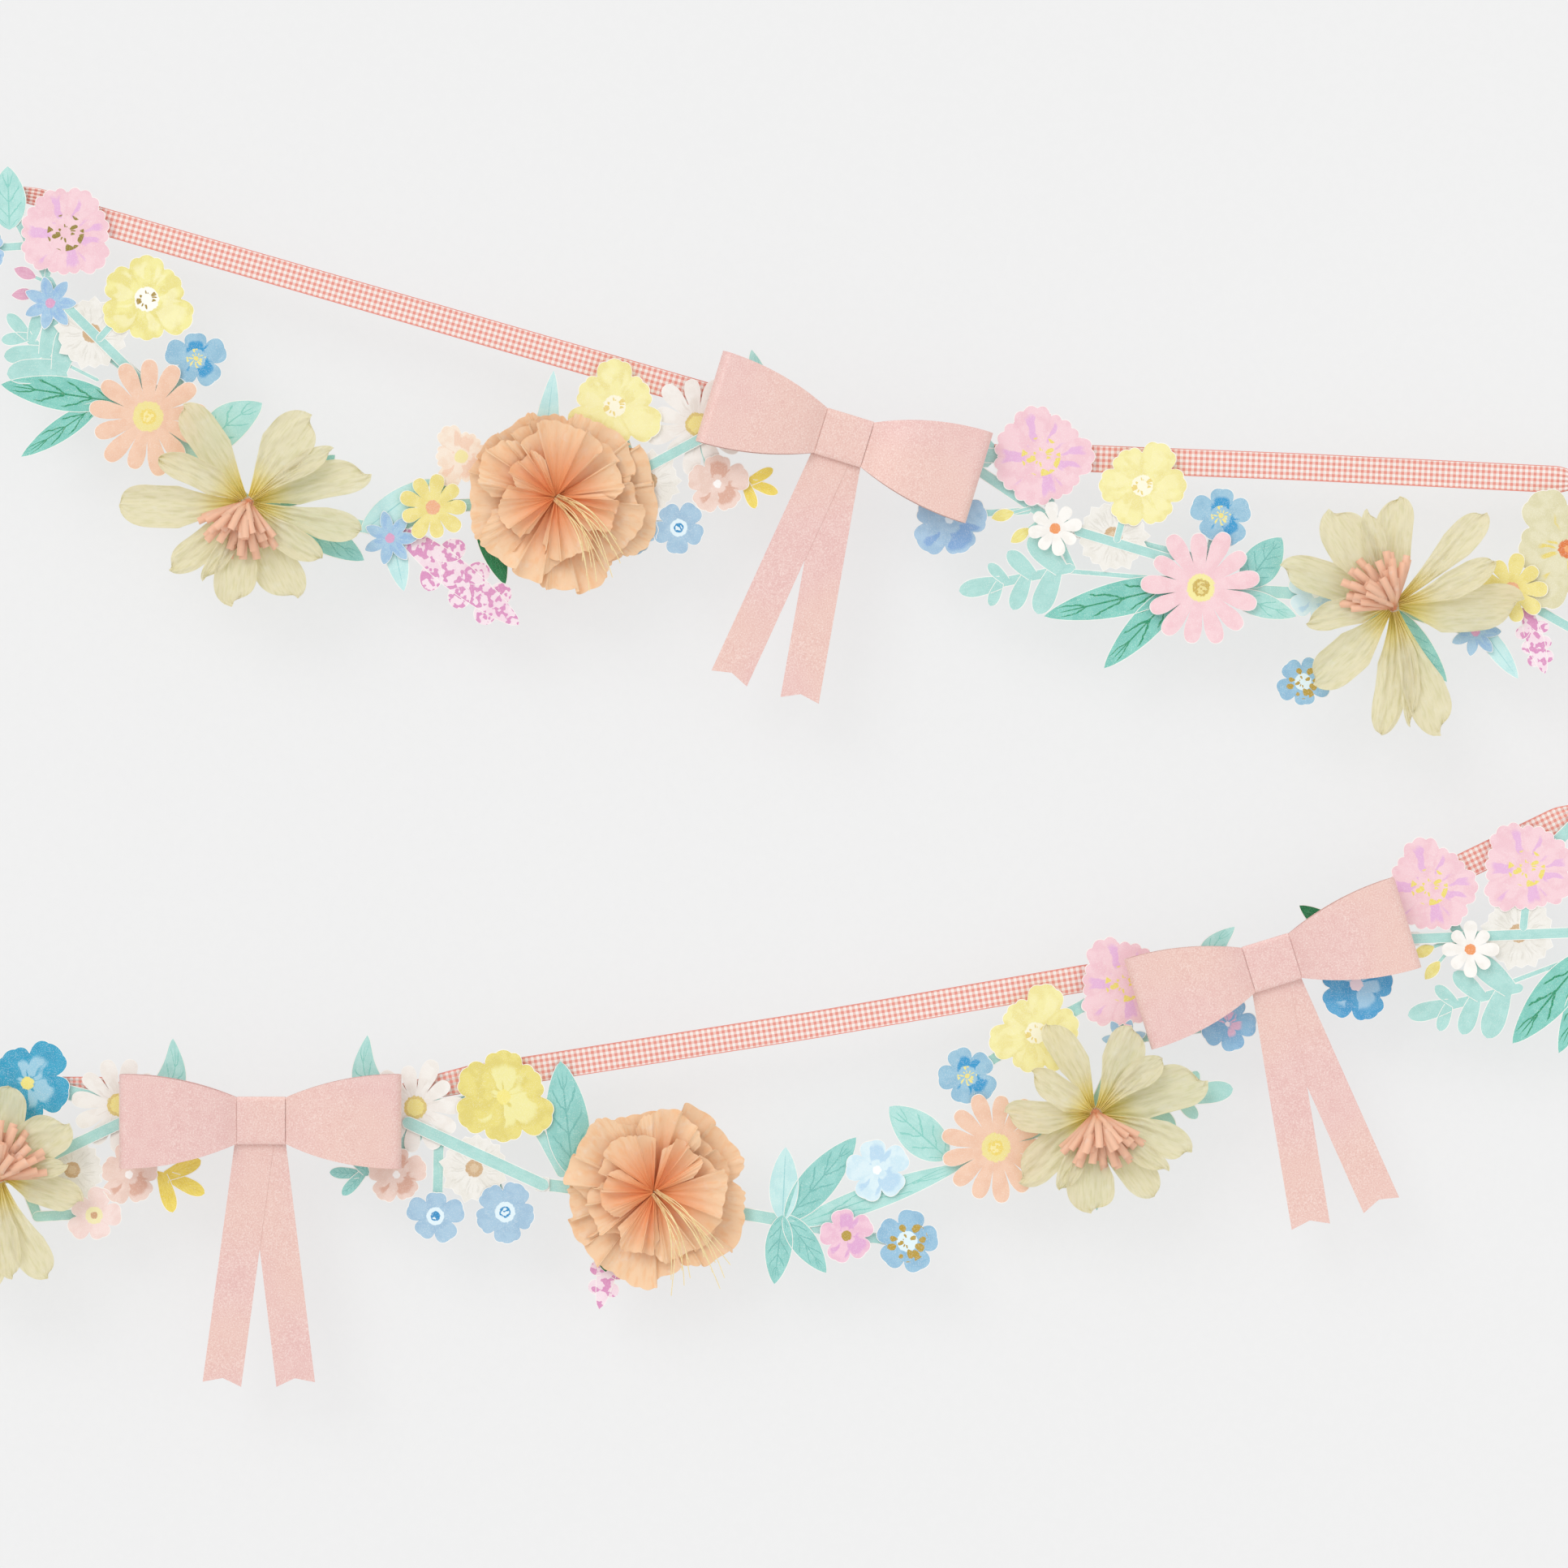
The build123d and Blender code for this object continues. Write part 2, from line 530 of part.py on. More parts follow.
def cut_sheet(faces, level):
    """One layer of card cut to the joined outline of its faces."""
    sheet = Sketch() + faces
    return Pos(0, 0, level) * extrude(sheet, amount=card, dir=(0, 0, 1))


def back_sheet(heading, rows, spots_px, centres_px, ends_px, level):
    """Back layer of a spray: stems, leaves, glue spots under what stands on it, and its tabs."""
    faces = []
    for row in rows:
        faces.extend(row_faces(row))
    for spot_px in spots_px:
        faces.append(placed(spot_px) * Rectangle(spot_side, spot_side))
    for centre_px in centres_px:
        faces.append(placed(centre_px) * RegularPolygon(foam_side, spot_sides))
    for end_px in ends_px:
        faces.append(tab_face(end_px, heading, False))
    sheet = Sketch() + faces
    for end_px in ends_px:
        sheet = sheet - tab_face(end_px, heading, True)
    return Pos(0, 0, level) * extrude(sheet, amount=card, dir=(0, 0, 1))


def pad(place_px, bottom, top):
    """Square foam pad between two levels."""
    block = Box(foam_side, foam_side, top - bottom, align=(Align.CENTER, Align.CENTER, Align.MIN))
    return placed(place_px, bottom) * block


def solid_of(points, faces):
    """Closed solid from corner points and the corner numbers of each flat face."""
    sides = [Face(Wire.make_polygon([points[i] for i in face], close=True)) for face in faces]
    return Solid(Shell(sides))


def band(stations):
    """Flat band through stations of x, y, level, width and thickness, split into flat facets."""
    points = []
    last = len(stations) - 1
    for i, (x, y, level, width, thickness) in enumerate(stations):
        before = stations[max(i - 1, 0)]
        after = stations[min(i + 1, last)]
        run = Vector(after[0] - before[0], after[1] - before[1]).normalized()
        side = Vector(-run.Y, run.X) * (width / 2)
        for across, towards in ((-1, -1), (1, -1), (1, 1), (-1, 1)):
            points.append((x + across * side.X, y + across * side.Y, level + towards * thickness / 2))
    faces = [(3, 2, 1, 0), tuple(4 * last + i for i in range(4))]
    for i in range(last):
        for corner in range(4):
            a = 4 * i + corner
            b = 4 * i + (corner + 1) % 4
            faces.append((a, b, b + 4))
            faces.append((a, b + 4, a + 4))
    return solid_of(points, faces)


def flat_station(x_px, y_px, width):
    """Station of the ribbon's run behind the sprays."""
    place = at((x_px, y_px))
    return (place.X, place.Y, back_run, width, ribbon_cloth)


def tab_stations(end_px, ahead):
    """Stations where the gathered ribbon slopes through a tab towards a point ahead, in front."""
    centre = at(end_px)
    run = (ahead - centre).normalized()
    behind = centre - run * ramp_behind
    front = centre + run * ramp_ahead
    return [(behind.X, behind.Y, back_run, gathered_width, gathered_thickness),
            (front.X, front.Y, 0, gathered_width, gathered_thickness)]


def front_station(place):
    """Station of the gathered ribbon's run in front, behind a bow or into a knot."""
    return (place.X, place.Y, 0, gathered_width, gathered_thickness)


def knot_face_point(name, towards):
    """Point on a tied knot's side that faces a place."""
    knot = at(loops_px[name][1])
    return knot + (towards - knot).normalized() * knot_radius


def upper_ribbon():
    """Upper strand, from the upper left loop to the upper right loop."""
    left_tab, bow_tab = tabs_px["upper_left"]
    next_tab, right_tab = tabs_px["upper_right"]
    bow = at(bow_places_px["bow_1"])
    start = knot_face_point("upper_left", at(left_tab))
    end = knot_face_point("upper_right", at(right_tab))
    stations = [front_station(start)]
    stations += reversed(tab_stations(left_tab, start))
    stations += [flat_station(*row) for row in ribbon_upper_left_px]
    stations += tab_stations(bow_tab, bow)
    stations.append(front_station(bow))
    stations += reversed(tab_stations(next_tab, bow))
    stations += [flat_station(*row) for row in ribbon_upper_right_px]
    stations += tab_stations(right_tab, end)
    stations.append(front_station(end))
    return band(stations)


def lower_ribbon():
    """Lower strand, from the lower right loop to the lower left loop."""
    third_tab, right_tab = tabs_px["lower_right"]
    middle_left, middle_right = tabs_px["lower_middle"]
    left_tab, second_tab = tabs_px["lower_left"]
    right_bow = at(bow_places_px["bow_3"])
    left_bow = at(bow_places_px["bow_2"])
    start = knot_face_point("lower_right", at(right_tab))
    end = knot_face_point("lower_left", at(left_tab))
    stations = [front_station(start)]
    stations += reversed(tab_stations(right_tab, start))
    stations += [flat_station(*row) for row in ribbon_lower_right_px]
    stations += tab_stations(third_tab, right_bow)
    stations.append(front_station(right_bow))
    stations += reversed(tab_stations(middle_right, right_bow))
    stations += [flat_station(*row) for row in ribbon_lower_middle_px]
    stations += tab_stations(middle_left, left_bow)
    stations.append(front_station(left_bow))
    stations += reversed(tab_stations(second_tab, left_bow))
    stations += [flat_station(*row) for row in ribbon_lower_left_px]
    stations += tab_stations(left_tab, end)
    stations.append(front_station(end))
    return band(stations)


def side_ribbon():
    """Run outside the picture, from the upper right knot down to the lower right knot."""
    top = knot_face_point("upper_right", at(ribbon_side_px[0]))
    bottom = knot_face_point("lower_right", at(ribbon_side_px[-1]))
    stations = [front_station(top)]
    for place_px in ribbon_side_px:
        place = at(place_px)
        stations.append((place.X, place.Y, 0, ribbon_width, ribbon_cloth))
    stations.append(front_station(bottom))
    return band(stations)


def teardrop(radius, length, end_radius):
    """Drop outline whose round end is centred on the origin and whose narrow end lies along x."""
    tangent = math.degrees(math.acos((radius - end_radius) / length))
    sweep = 360 - 2 * tangent
    centre = Vector(0, 0)
    points = [polar(centre, radius, tangent + sweep * i / eye_facets) for i in range(eye_facets + 1)]
    far = Vector(length, 0)
    points += [polar(far, end_radius, -tangent), polar(far, end_radius, tangent)]
    return polygon(points)


def tied_loop(name):
    """Tied ribbon loop: an open eye for a nail, and the knot that closes it."""
    nail, knot = (at(place) for place in loops_px[name])
    reach = (knot - nail).length - eye_radius
    heading = math.degrees(math.atan2(knot.Y - nail.Y, knot.X - nail.X))
    outer = teardrop(eye_radius + loop_strand, reach, loop_strand)
    inner = teardrop(eye_radius, reach - knot_radius - loop_strand, loop_strand / 2)
    eye = extrude(Sketch() + [outer] - [inner], amount=loop_depth / 2, both=True)
    block = extrude(RegularPolygon(knot_radius, knot_sides), amount=knot_depth / 2, both=True)
    body = Pos(eye_radius, 0, 0) * (eye + Pos(reach, 0, 0) * block)
    return placed(loops_px[name][0]) * Rot(0, 0, heading) * body


def bow_placed(name, piece):
    """Moves a bow piece from the bow's own place to its place on the ribbon."""
    return placed(bow_places_px[name]) * Rot(0, 0, bow_slopes[name]) * piece


bow_pad_front = gathered_thickness / 2 + foam
tails_front = bow_pad_front + 2 * card
knot_back = tails_front
loops_back = knot_back + bow_card


def bow_loops():
    """Folded loop band: a hollow strip seen from above, cut to the flared outline in front."""
    half_knot = bow_knot_width / 2
    pinch = bow_knot_depth - 2 * bow_card
    fold_centre = bow_reach - bow_loop_depth / 2
    rise = bow_loop_depth * bow_back_rise_share
    side_points = [Vector(half_knot, 0)]
    for share in loop_back_shares:
        side_points.append(Vector(half_knot + (fold_centre - half_knot) * share, rise * share))
    fold = Vector(fold_centre, (rise + bow_loop_depth) / 2)
    for turn in loop_fold_turns:
        side_points.append(polar(fold, (bow_loop_depth - rise) / 2, turn))
    for share, height in loop_front_shares:
        side_points.append(Vector(half_knot + (fold_centre - half_knot) * share,
                                  pinch + (bow_loop_depth - pinch) * height))
    side_points.append(Vector(half_knot, pinch))
    mirrored = [Vector(-point.X, point.Y) for point in reversed(side_points)]
    ring = polygon(side_points + mirrored)
    hollow = offset(ring, amount=-bow_card, kind=Kind.INTERSECTION)
    strip_above = extrude(Sketch() + [ring] - [hollow], amount=bow_outer_height, both=True)
    return Pos(0, 0, loops_back) * (bow_front_blank() & Rot(90, 0, 0) * strip_above)


def bow_front_blank():
    """Block with the bow's flared outline as seen from the front."""
    half_knot = bow_knot_width / 2
    knot_top = bow_knot_height / 2 - bow_card
    flare = bow_outer_height / 2 - knot_top
    corner = []
    for share, height in loop_flare_shares:
        corner.append((half_knot + (bow_reach - half_knot) * share, knot_top + flare * height))
    points = corner + [(x, -y) for x, y in reversed(corner)]
    points += [(-x, -y) for x, y in corner] + [(-x, y) for x, y in reversed(corner)]
    return extrude(polygon(points), amount=2 * bow_loop_depth, both=True)


def bow_knot():
    """Knot band wrapped round the middle of the loops."""
    half_depth = bow_knot_depth / 2
    half_height = bow_knot_height / 2
    corners = [(half_depth, half_height - knot_round), (half_depth - knot_round, half_height),
               (knot_round - half_depth, half_height), (-half_depth, half_height - knot_round)]
    outer = polygon(corners + [(-x, -y) for x, y in corners])
    inner = Rectangle(bow_knot_depth - 2 * bow_card, bow_knot_height - 2 * bow_card)
    ring = extrude(Sketch() + [outer] - [inner], amount=bow_knot_width / 2, both=True)
    return Pos(0, 0, knot_back + half_depth) * Rot(0, 90, 0) * ring


def tail_face(top_centre, lean):
    """One tail: a strip that leans to one side and ends in a swallow's tail."""
    half = tail_width / 2
    corners = [(-half, tail_tuck), (half, tail_tuck), (half, -tail_length), (0, tail_notch - tail_length),
               (-half, -tail_length)]
    return Pos(top_centre, -bow_knot_height / 2) * Rot(0, 0, -lean) * polygon(corners)


def bow_tails():
    """Two tails, the left one in front."""
    tails = []
    for level, top_centre, lean in ((bow_pad_front, right_tail_top, right_tail_lean),
                                    (bow_pad_front + card, left_tail_top, left_tail_lean)):
        sheet = extrude(tail_face(top_centre, lean), amount=card, dir=(0, 0, 1))
        tails.append(Pos(0, 0, level) * sheet)
    return tails[0] + tails[1]


def bow_pad():
    """Foam pad that fixes the bow to the gathered ribbon."""
    block = Box(bow_pad_width, bow_pad_height, foam, align=(Align.CENTER, Align.CENTER, Align.MIN))
    return Pos(0, 0, gathered_thickness / 2) * block


def lily_petal(centre, tip, lift):
    """One tissue petal: a thin cupped sheet that rises from the throat to a rounded tip."""
    run = tip - centre
    length = run.length
    heading = run.normalized()
    side = Vector(-heading.Y, heading.X)
    points = []
    for row_share, width_share, rise_share in zip(petal_rows_share, petal_width_shares, petal_rise_shares):
        reach = lily_throat + (length - lily_throat) * row_share
        rise = petal_rise * rise_share + lift
        half = petal_half_width * width_share
        for across, height in ((-1, petal_cup * width_share), (0, 0), (1, petal_cup * width_share)):
            spot = centre + heading * reach + side * (across * half)
            points.append((spot.X, spot.Y, rise + height))
    count = len(points)
    points += [(x, y, z + petal_sheet) for x, y, z in points]
    faces = []
    rows = len(petal_rows_share)
    for i in range(rows - 1):
        for column in range(2):
            a = 3 * i + column
            quad = (a, a + 1, a + 4, a + 3)
            faces.append((quad[0], quad[2], quad[1]))
            faces.append((quad[0], quad[3], quad[2]))
            faces.append((quad[0] + count, quad[1] + count, quad[2] + count))
            faces.append((quad[0] + count, quad[2] + count, quad[3] + count))
    rim = [3 * i for i in range(rows)] + [3 * rows - 2] + [3 * i + 2 for i in reversed(range(rows))] + [1]
    for i, corner in enumerate(rim):
        after = rim[(i + 1) % len(rim)]
        faces.append((corner, after, after + count, corner + count))
    return solid_of(points, faces)


def lily_petals(swag, level):
    """All petals of a tissue lily, in two layers that take turns round the throat."""
    centre_px, tips_px = lilies_px[swag]
    gap = petal_cup + petal_sheet + petal_layer_gap
    petals = []
    for i, tip_px in enumerate(tips_px):
        petals.append(lily_petal(at(centre_px), at(tip_px), level + gap * (i % 2)))
    return petals


def lily_tuft(swag, level):
    """Coral centre of a lily: a stalk and a fan of strips that leans out of the throat."""
    centre = at(lilies_px[swag][0])
    top = level + petal_rise / 2
    stalk = extrude(RegularPolygon(lily_stalk, lily_stalk_sides), amount=top - level, dir=(0, 0, 1))
    body = placed(lilies_px[swag][0], level) * stalk
    half = tuft_strip_width / 2
    for i in range(tuft_strips):
        turn = lily_turn[swag] + tuft_fan * (i / (tuft_strips - 1) - 0.5)
        lean = tuft_length * tuft_lean_share * (1 - tuft_short_share * (i % 2))
        rise = tuft_length * (tuft_rise_share + tuft_rise_step_share * (i % 3))
        heading = polar(Vector(0, 0), 1, turn)
        side = polar(Vector(0, 0), 1, turn + 90)
        points = []
        for reach, height, spread in ((0, -lily_stalk, tuft_root_width_share), (lean, rise, 1)):
            for across, thick in ((-1, -1), (1, -1), (1, 1), (-1, 1)):
                spot = centre + heading * reach + side * (across * half * spread)
                points.append((spot.X, spot.Y, top + height + thick * petal_sheet))
        faces = [(0, 1, 2, 3), (7, 6, 5, 4), (0, 4, 5, 1), (1, 5, 6, 2), (2, 6, 7, 3), (3, 7, 4, 0)]
        body = body + solid_of(points, faces)
    return body


def carnation(swag, level):
    """Ruffled tissue flower: pleated discs that get smaller and steeper towards the front."""
    centre = at(carnations_px[swag])
    sheets = []
    for layer in range(ruffle_layers):
        radius = ruffle_radius * carnation_size_shares[swag] * (1 - ruffle_shrink_share * layer)
        apex = level + ruffle_lift * layer
        rim_level = apex + ruffle_rise * (layer + 1)
        points = [(centre.X, centre.Y, apex)]
        count = 2 * ruffle_pleats
        for i in range(count):
            reach = radius * (1 - ruffle_nibble_share * (i % 3))
            spot = polar(centre, reach, 360 * i / count)
            points.append((spot.X, spot.Y, rim_level + ruffle_pleat_height * (i % 2)))
        total = len(points)
        points += [(x, y, z + ruffle_sheet) for x, y, z in points]
        faces = []
        for i in range(count):
            a = 1 + i
            b = 1 + (i + 1) % count
            faces.append((0, b, a))
            faces.append((total, total + a, total + b))
            faces.append((a, b, total + b, total + a))
        sheets.append(solid_of(points, faces))
    return sheets


def gold_threads(swag, level):
    """Gold threads that hang from the middle of a carnation over its ruffles."""
    threads = []
    throat = level + ruffle_lift * ruffle_layers
    rim = throat + ruffle_rise * ruffle_layers + ruffle_pleat_height
    for x0, y0, x1, y1 in threads_px[swag]:
        start = at((x0, y0))
        end = at((x1, y1))
        stations = [(start.X, start.Y, throat + thread_side, thread_side, thread_side)]
        for share in thread_shares:
            place = along(start, end, share)
            height = rim + thread_lift * (thread_arch_share - abs(share - thread_peak_share))
            stations.append((place.X, place.Y, height, thread_side, thread_side))
        threads.append(band(stations))
    return threads


def solids_in(pieces):
    """Every solid of one piece or of a list of pieces."""
    if not isinstance(pieces, list):
        pieces = [pieces]
    found = []
    for piece in pieces:
        found.extend(piece.solids())
    return found


def save(name, pieces):
    """Stands the pieces up, so that they face -Y, and writes them as one named file."""
    solids = [Plane.XZ.location * solid for solid in solids_in(pieces)]
    shape = solids[0] if len(solids) == 1 else Compound(children=solids)
    shape.label = name
    export_step(shape, f"parts/{name}.step")
    print(name, len(solids), round(sum(solid.volume for solid in solids), 1))
    return solids


def balance(solids):
    """Depth of the centre of mass of a swag."""
    total = sum(solid.volume for solid in solids)
    return sum(solid.center(CenterOf.MASS).Y * solid.volume for solid in solids) / total


def spray(name, back_rows, front_rows, joints_px, seats_px, ends_px, level):
    """Writes one spray's two layers and its daisies, and gives their solids and foam pads."""
    front_level = level + card + foam
    daisies = {daisy: row for daisy, row in daisies_px.items() if row[5] == name}
    spots_px = [row[1:3] for row in front_rows] + [row[1:3] for row in daisies.values()]
    heading = swag_heading(name.removesuffix("_a").removesuffix("_b"))
    back = back_sheet(heading, back_rows, spots_px, joints_px + seats_px, ends_px, level)
    front_faces = []
    for row in front_rows:
        front_faces.extend(row_faces(row))
    solids = save(name + "_back", back) + save(name + "_front", cut_sheet(front_faces, front_level))
    pads = [pad(place_px, level + card, front_level)
            for place_px in [row[1:3] for row in front_rows] + seats_px]
    for daisy, row in daisies.items():
        layers = row[6]
        daisy_level = level + layers * (card + foam) if layers else level + card
        solids += save(daisy, cut_sheet([bloom_face(*row[0:5])], daisy_level))
        if layers:
            pads.append(pad(row[1:3], level + card, daisy_level))
    return solids, pads


def swag(name, parts):
    """Writes a swag: its sprays, tissue flowers and foam, and prints where it balances."""
    tissue_level = parts[-1][-1] + card + foam
    solids = []
    pads = []
    for part in parts:
        part_solids, part_pads = spray(*part)
        solids += part_solids
        pads += part_pads
    if name in lilies_px:
        solids += save(name + "_lily_petals", lily_petals(name, tissue_level))
        solids += save(name + "_lily_tuft", lily_tuft(name, tissue_level))
    if name in carnations_px:
        solids += save(name + "_carnation", carnation(name, tissue_level))
        solids += save(name + "_gold_threads", gold_threads(name, tissue_level))
    solids += save(name + "_foam", pads)
    left, right = (at(end) for end in tabs_px[name])
    print("hinge", name, tuple(round(value, 2) for value in (left.X, left.Y, right.X, right.Y)),
          "balance", round(balance(solids), 2))


def main():
    """Builds every piece."""
    save("ribbon_upper", upper_ribbon())
    save("ribbon_lower", lower_ribbon())
    save("ribbon_side", side_ribbon())
    for name in loops_px:
        save("hanging_loop_" + name, tied_loop(name))
    for name in bow_places_px:
        save(name + "_loops", bow_placed(name, bow_loops()))
        save(name + "_knot", bow_placed(name, bow_knot()))
        save(name + "_tails", bow_placed(name, bow_tails()))
        save(name + "_foam", bow_placed(name, bow_pad()))
    upper_left, upper_right = tabs_px["upper_left"]
    second = spray_back + card
    lily_px = {name: centre for name, (centre, tips) in lilies_px.items()}
    swag("upper_left", [
        ("upper_left_a", upper_left_a_back_px, upper_left_a_front_px, [lily_px["upper_left"]], [],
         [upper_left], spray_back),
        ("upper_left_b", upper_left_b_back_px, upper_left_b_front_px, [],
         [lily_px["upper_left"], carnations_px["upper_left"]], [upper_right], second),
    ])
    swag("upper_right", [
        ("upper_right", upper_right_back_spray_px, upper_right_front_px, [], [lily_px["upper_right"]],
         tabs_px["upper_right"], spray_back),
    ])
    swag("lower_left", [
        ("lower_left", lower_left_back_px, lower_left_front_px, [], [lily_px["lower_left"]],
         tabs_px["lower_left"], spray_back),
    ])
    lower_left, lower_right = tabs_px["lower_middle"]
    swag("lower_middle", [
        ("lower_middle_a", lower_middle_a_back_px, lower_middle_a_front_px,
         [carnations_px["lower_middle"]], [], [lower_left], spray_back),
        ("lower_middle_b", lower_middle_b_back_px, lower_middle_b_front_px, [],
         [carnations_px["lower_middle"], lily_px["lower_middle"]], [lower_right], second),
    ])
    swag("lower_right", [
        ("lower_right", lower_right_back_spray_px, lower_right_front_px, [], [],
         tabs_px["lower_right"], spray_back),
    ])


main()
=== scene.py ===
"""Flower and bow garland: the look of every piece, built over the CAD frame.

Shapes are worked out in drawing millimetres, x to the right, y up and z towards the viewer, and
stood up when their mesh is made. Names that end in PX hold places on a 1932 pixel wide picture.
"""

import logging
import math
from dataclasses import dataclass, replace
from enum import Enum
from functools import reduce

import bmesh
import bpy
import numpy as np
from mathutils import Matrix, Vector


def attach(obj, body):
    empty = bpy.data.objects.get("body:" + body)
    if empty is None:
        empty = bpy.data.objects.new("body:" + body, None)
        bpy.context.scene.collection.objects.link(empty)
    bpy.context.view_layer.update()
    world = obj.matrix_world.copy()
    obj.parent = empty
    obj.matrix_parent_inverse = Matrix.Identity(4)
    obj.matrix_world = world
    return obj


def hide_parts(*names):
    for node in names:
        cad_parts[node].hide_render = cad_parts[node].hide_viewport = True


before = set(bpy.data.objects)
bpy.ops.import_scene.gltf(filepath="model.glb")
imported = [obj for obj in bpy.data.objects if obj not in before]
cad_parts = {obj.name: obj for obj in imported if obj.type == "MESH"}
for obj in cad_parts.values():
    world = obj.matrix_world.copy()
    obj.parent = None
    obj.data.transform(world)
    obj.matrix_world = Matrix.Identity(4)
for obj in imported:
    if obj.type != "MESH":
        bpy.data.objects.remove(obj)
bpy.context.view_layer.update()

logging.basicConfig(level=logging.INFO, format="%(message)s")
log = logging.getLogger("garland")

Point = tuple[float, float]
Grid = np.ndarray

# Picture scale
METRES = 0.001
SHOWN = "_shown"      # ends the name of each finished piece, beside its CAD node's
FINISH = "_finish"    # ends the name of each material
VIEW_WIDTH = 869.4
VIEW_PIXELS = 1932
PIXEL = VIEW_WIDTH / VIEW_PIXELS
NAIL_PX = (-112, 214)

# Paper, foam and ribbon
CARD = 0.4
FOAM = 1.5
FOAM_SIDE = 8.0
RIBBON_WIDTH = 15.0
RIBBON_CLOTH = 0.3
GATHERED_WIDTH = 6.0
GATHERED_THICKNESS = 1.2
RIBBON_GAP = 2.3
KNOT_RADIUS = 4.8
BOW_CLEARANCE = 1.5
SPRAYS_DEPTH = RIBBON_GAP + 3 * CARD + 2 * FOAM
BACK_RUN = -(SPRAYS_DEPTH + BOW_CLEARANCE)
SPRAY_BACK = BACK_RUN + RIBBON_GAP
CUT_EDGE = 0.35
ROW_STEP = 0.02
OVERLAY = 0.3
STEM_WIDTH = 6.0
BUD_LENGTH = 13.0

# Hanging tabs
TAB_LENGTH = 20.0
TAB_HEIGHT = 16.0
TAB_RIM = 3.0
TAB_CORNER = 3.0
TAB_SEAT = 0.4
RAMP_BEHIND = 3.0
RAMP_AHEAD = 6.0

# Studio
CAMERA_AWAY = 3.0
CAMERA_CENTRE = (0.4851, -0.3384)
SENSOR = 36.0
WALL_BEHIND = 0.046       # clear of the swags where they swing back
WALL_SIDE = 6.0


def rgba(code: str) -> tuple[float, float, float, float]:
    """Linear colour from an sRGB code such as #a0b1c2.

    Args:
        code: the colour as red, green and blue in two hexadecimal digits each.

    Returns:
        Red, green, blue and alpha.
    """
    values = []
    for i in (1, 3, 5):
        value = int(code[i:i + 2], 16) / 255
        values.append(value / 12.92 if value <= 0.04045 else ((value + 0.055) / 1.055) ** 2.4)
    return (*values, 1.0)


class Nodes:
    """Node tree with short ways to add nodes and link them."""

    def __init__(self, tree: bpy.types.NodeTree) -> None:
        """Starts with a tree."""
        self.tree = tree

    def add(self, kind: str, inputs: dict | None = None, output: int | str = 0, **settings) -> object:
        """Adds a node, sets it, links it and gives one of its outputs.

        Args:
            kind: the node's type name.
            inputs: a value or a socket for each input, by name or number.
            output: the output to give.
            settings: attributes of the node.

        Returns:
            The output socket, or None where the node has none.
        """
        node = self.tree.nodes.new(kind)
        for name, value in settings.items():
            setattr(node, name, value)
        for key, value in (inputs or {}).items():
            if isinstance(value, bpy.types.NodeSocket):
                self.tree.links.new(value, node.inputs[key])
            else:
                node.inputs[key].default_value = value
        return node.outputs[output] if len(node.outputs) else None

    def maths(self, operation: str, *values: object) -> object:
        """Result of a math node."""
        return self.add("ShaderNodeMath", dict(enumerate(values)), operation=operation)

    def vectors(self, operation: str, *values: object) -> object:
        """Result of a vector math node."""
        return self.add("ShaderNodeVectorMath", dict(enumerate(values)), operation=operation)

    def part(self, vector: object, axis: int) -> object:
        """One number of a vector."""
        return self.add("ShaderNodeSeparateXYZ", {0: vector}, axis)


class Tree(Nodes):
    """Node tree of one procedural material."""

    def __init__(self, name: str) -> None:
        """Starts an empty material."""
        self.material = bpy.data.materials.new(name + FINISH)
        self.material.use_nodes = True
        super().__init__(self.material.node_tree)
        self.tree.nodes.clear()

    def mask(self, value: object, low: float, high: float) -> object:
        """Smooth step from 0 at low to 1 at high."""
        return self.add("ShaderNodeMapRange", {0: value, 1: low, 2: high},
                        interpolation_type="SMOOTHSTEP")

    def both(self, first: object, second: object) -> object:
        """Share covered by two masks at once."""
        return self.maths("MULTIPLY", first, second)

    def paint(self, base: object, colour: object, *shares: object) -> object:
        """Base colour with another one painted over it where every share is 1."""
        base, colour = (rgba(item) if isinstance(item, str) else item for item in (base, colour))
        return self.add("ShaderNodeMix", {0: reduce(self.both, shares), 6: base, 7: colour}, 2,
                        data_type="RGBA")

    def flecks(self, size: float, detail: float = 2.0, coordinates: object = None) -> object:
        """Noise whose spots are about one size, in millimetres, on the object's own coordinates."""
        scale = 1 if coordinates else 1 / (size * METRES)
        coordinates = coordinates or self.add("ShaderNodeTexCoord", output="Object")
        return self.add("ShaderNodeTexNoise", {"Vector": coordinates, "Scale": scale, "Detail": detail})

    def uv(self, name: str) -> object:
        """One of the mesh's UV maps."""
        return self.add("ShaderNodeUVMap", uv_map=name)

    def petal(self) -> tuple[object, object]:
        """How far across and along its petal or leaf a point is."""
        return self.part(self.uv("petal"), 0), self.part(self.uv("petal"), 1)

    def bump(self, height: object, strength: float, depth: float) -> object:
        """Normal of a bumpy surface, its depth in millimetres."""
        return self.add("ShaderNodeBump", {"Height": height, "Strength": strength,
                                           "Distance": depth * METRES})

    def coat(self, colour: object, roughness: float, normal: object, more: dict | None = None) -> object:
        """Shader of an opaque surface, with more inputs by name."""
        return self.add("ShaderNodeBsdfPrincipled", {"Base Color": colour, "Roughness": roughness,
                                                     "Normal": normal, **(more or {})})

    def blend(self, share: object, first: object, second: object) -> object:
        """First shader mixed with a share of the second one."""
        return self.add("ShaderNodeMixShader", {0: share, 1: first, 2: second})

    def finish(self, shader: object) -> bpy.types.Material:
        """Links the surface and gives the material."""
        self.add("ShaderNodeOutputMaterial", {"Surface": shader})
        return self.material


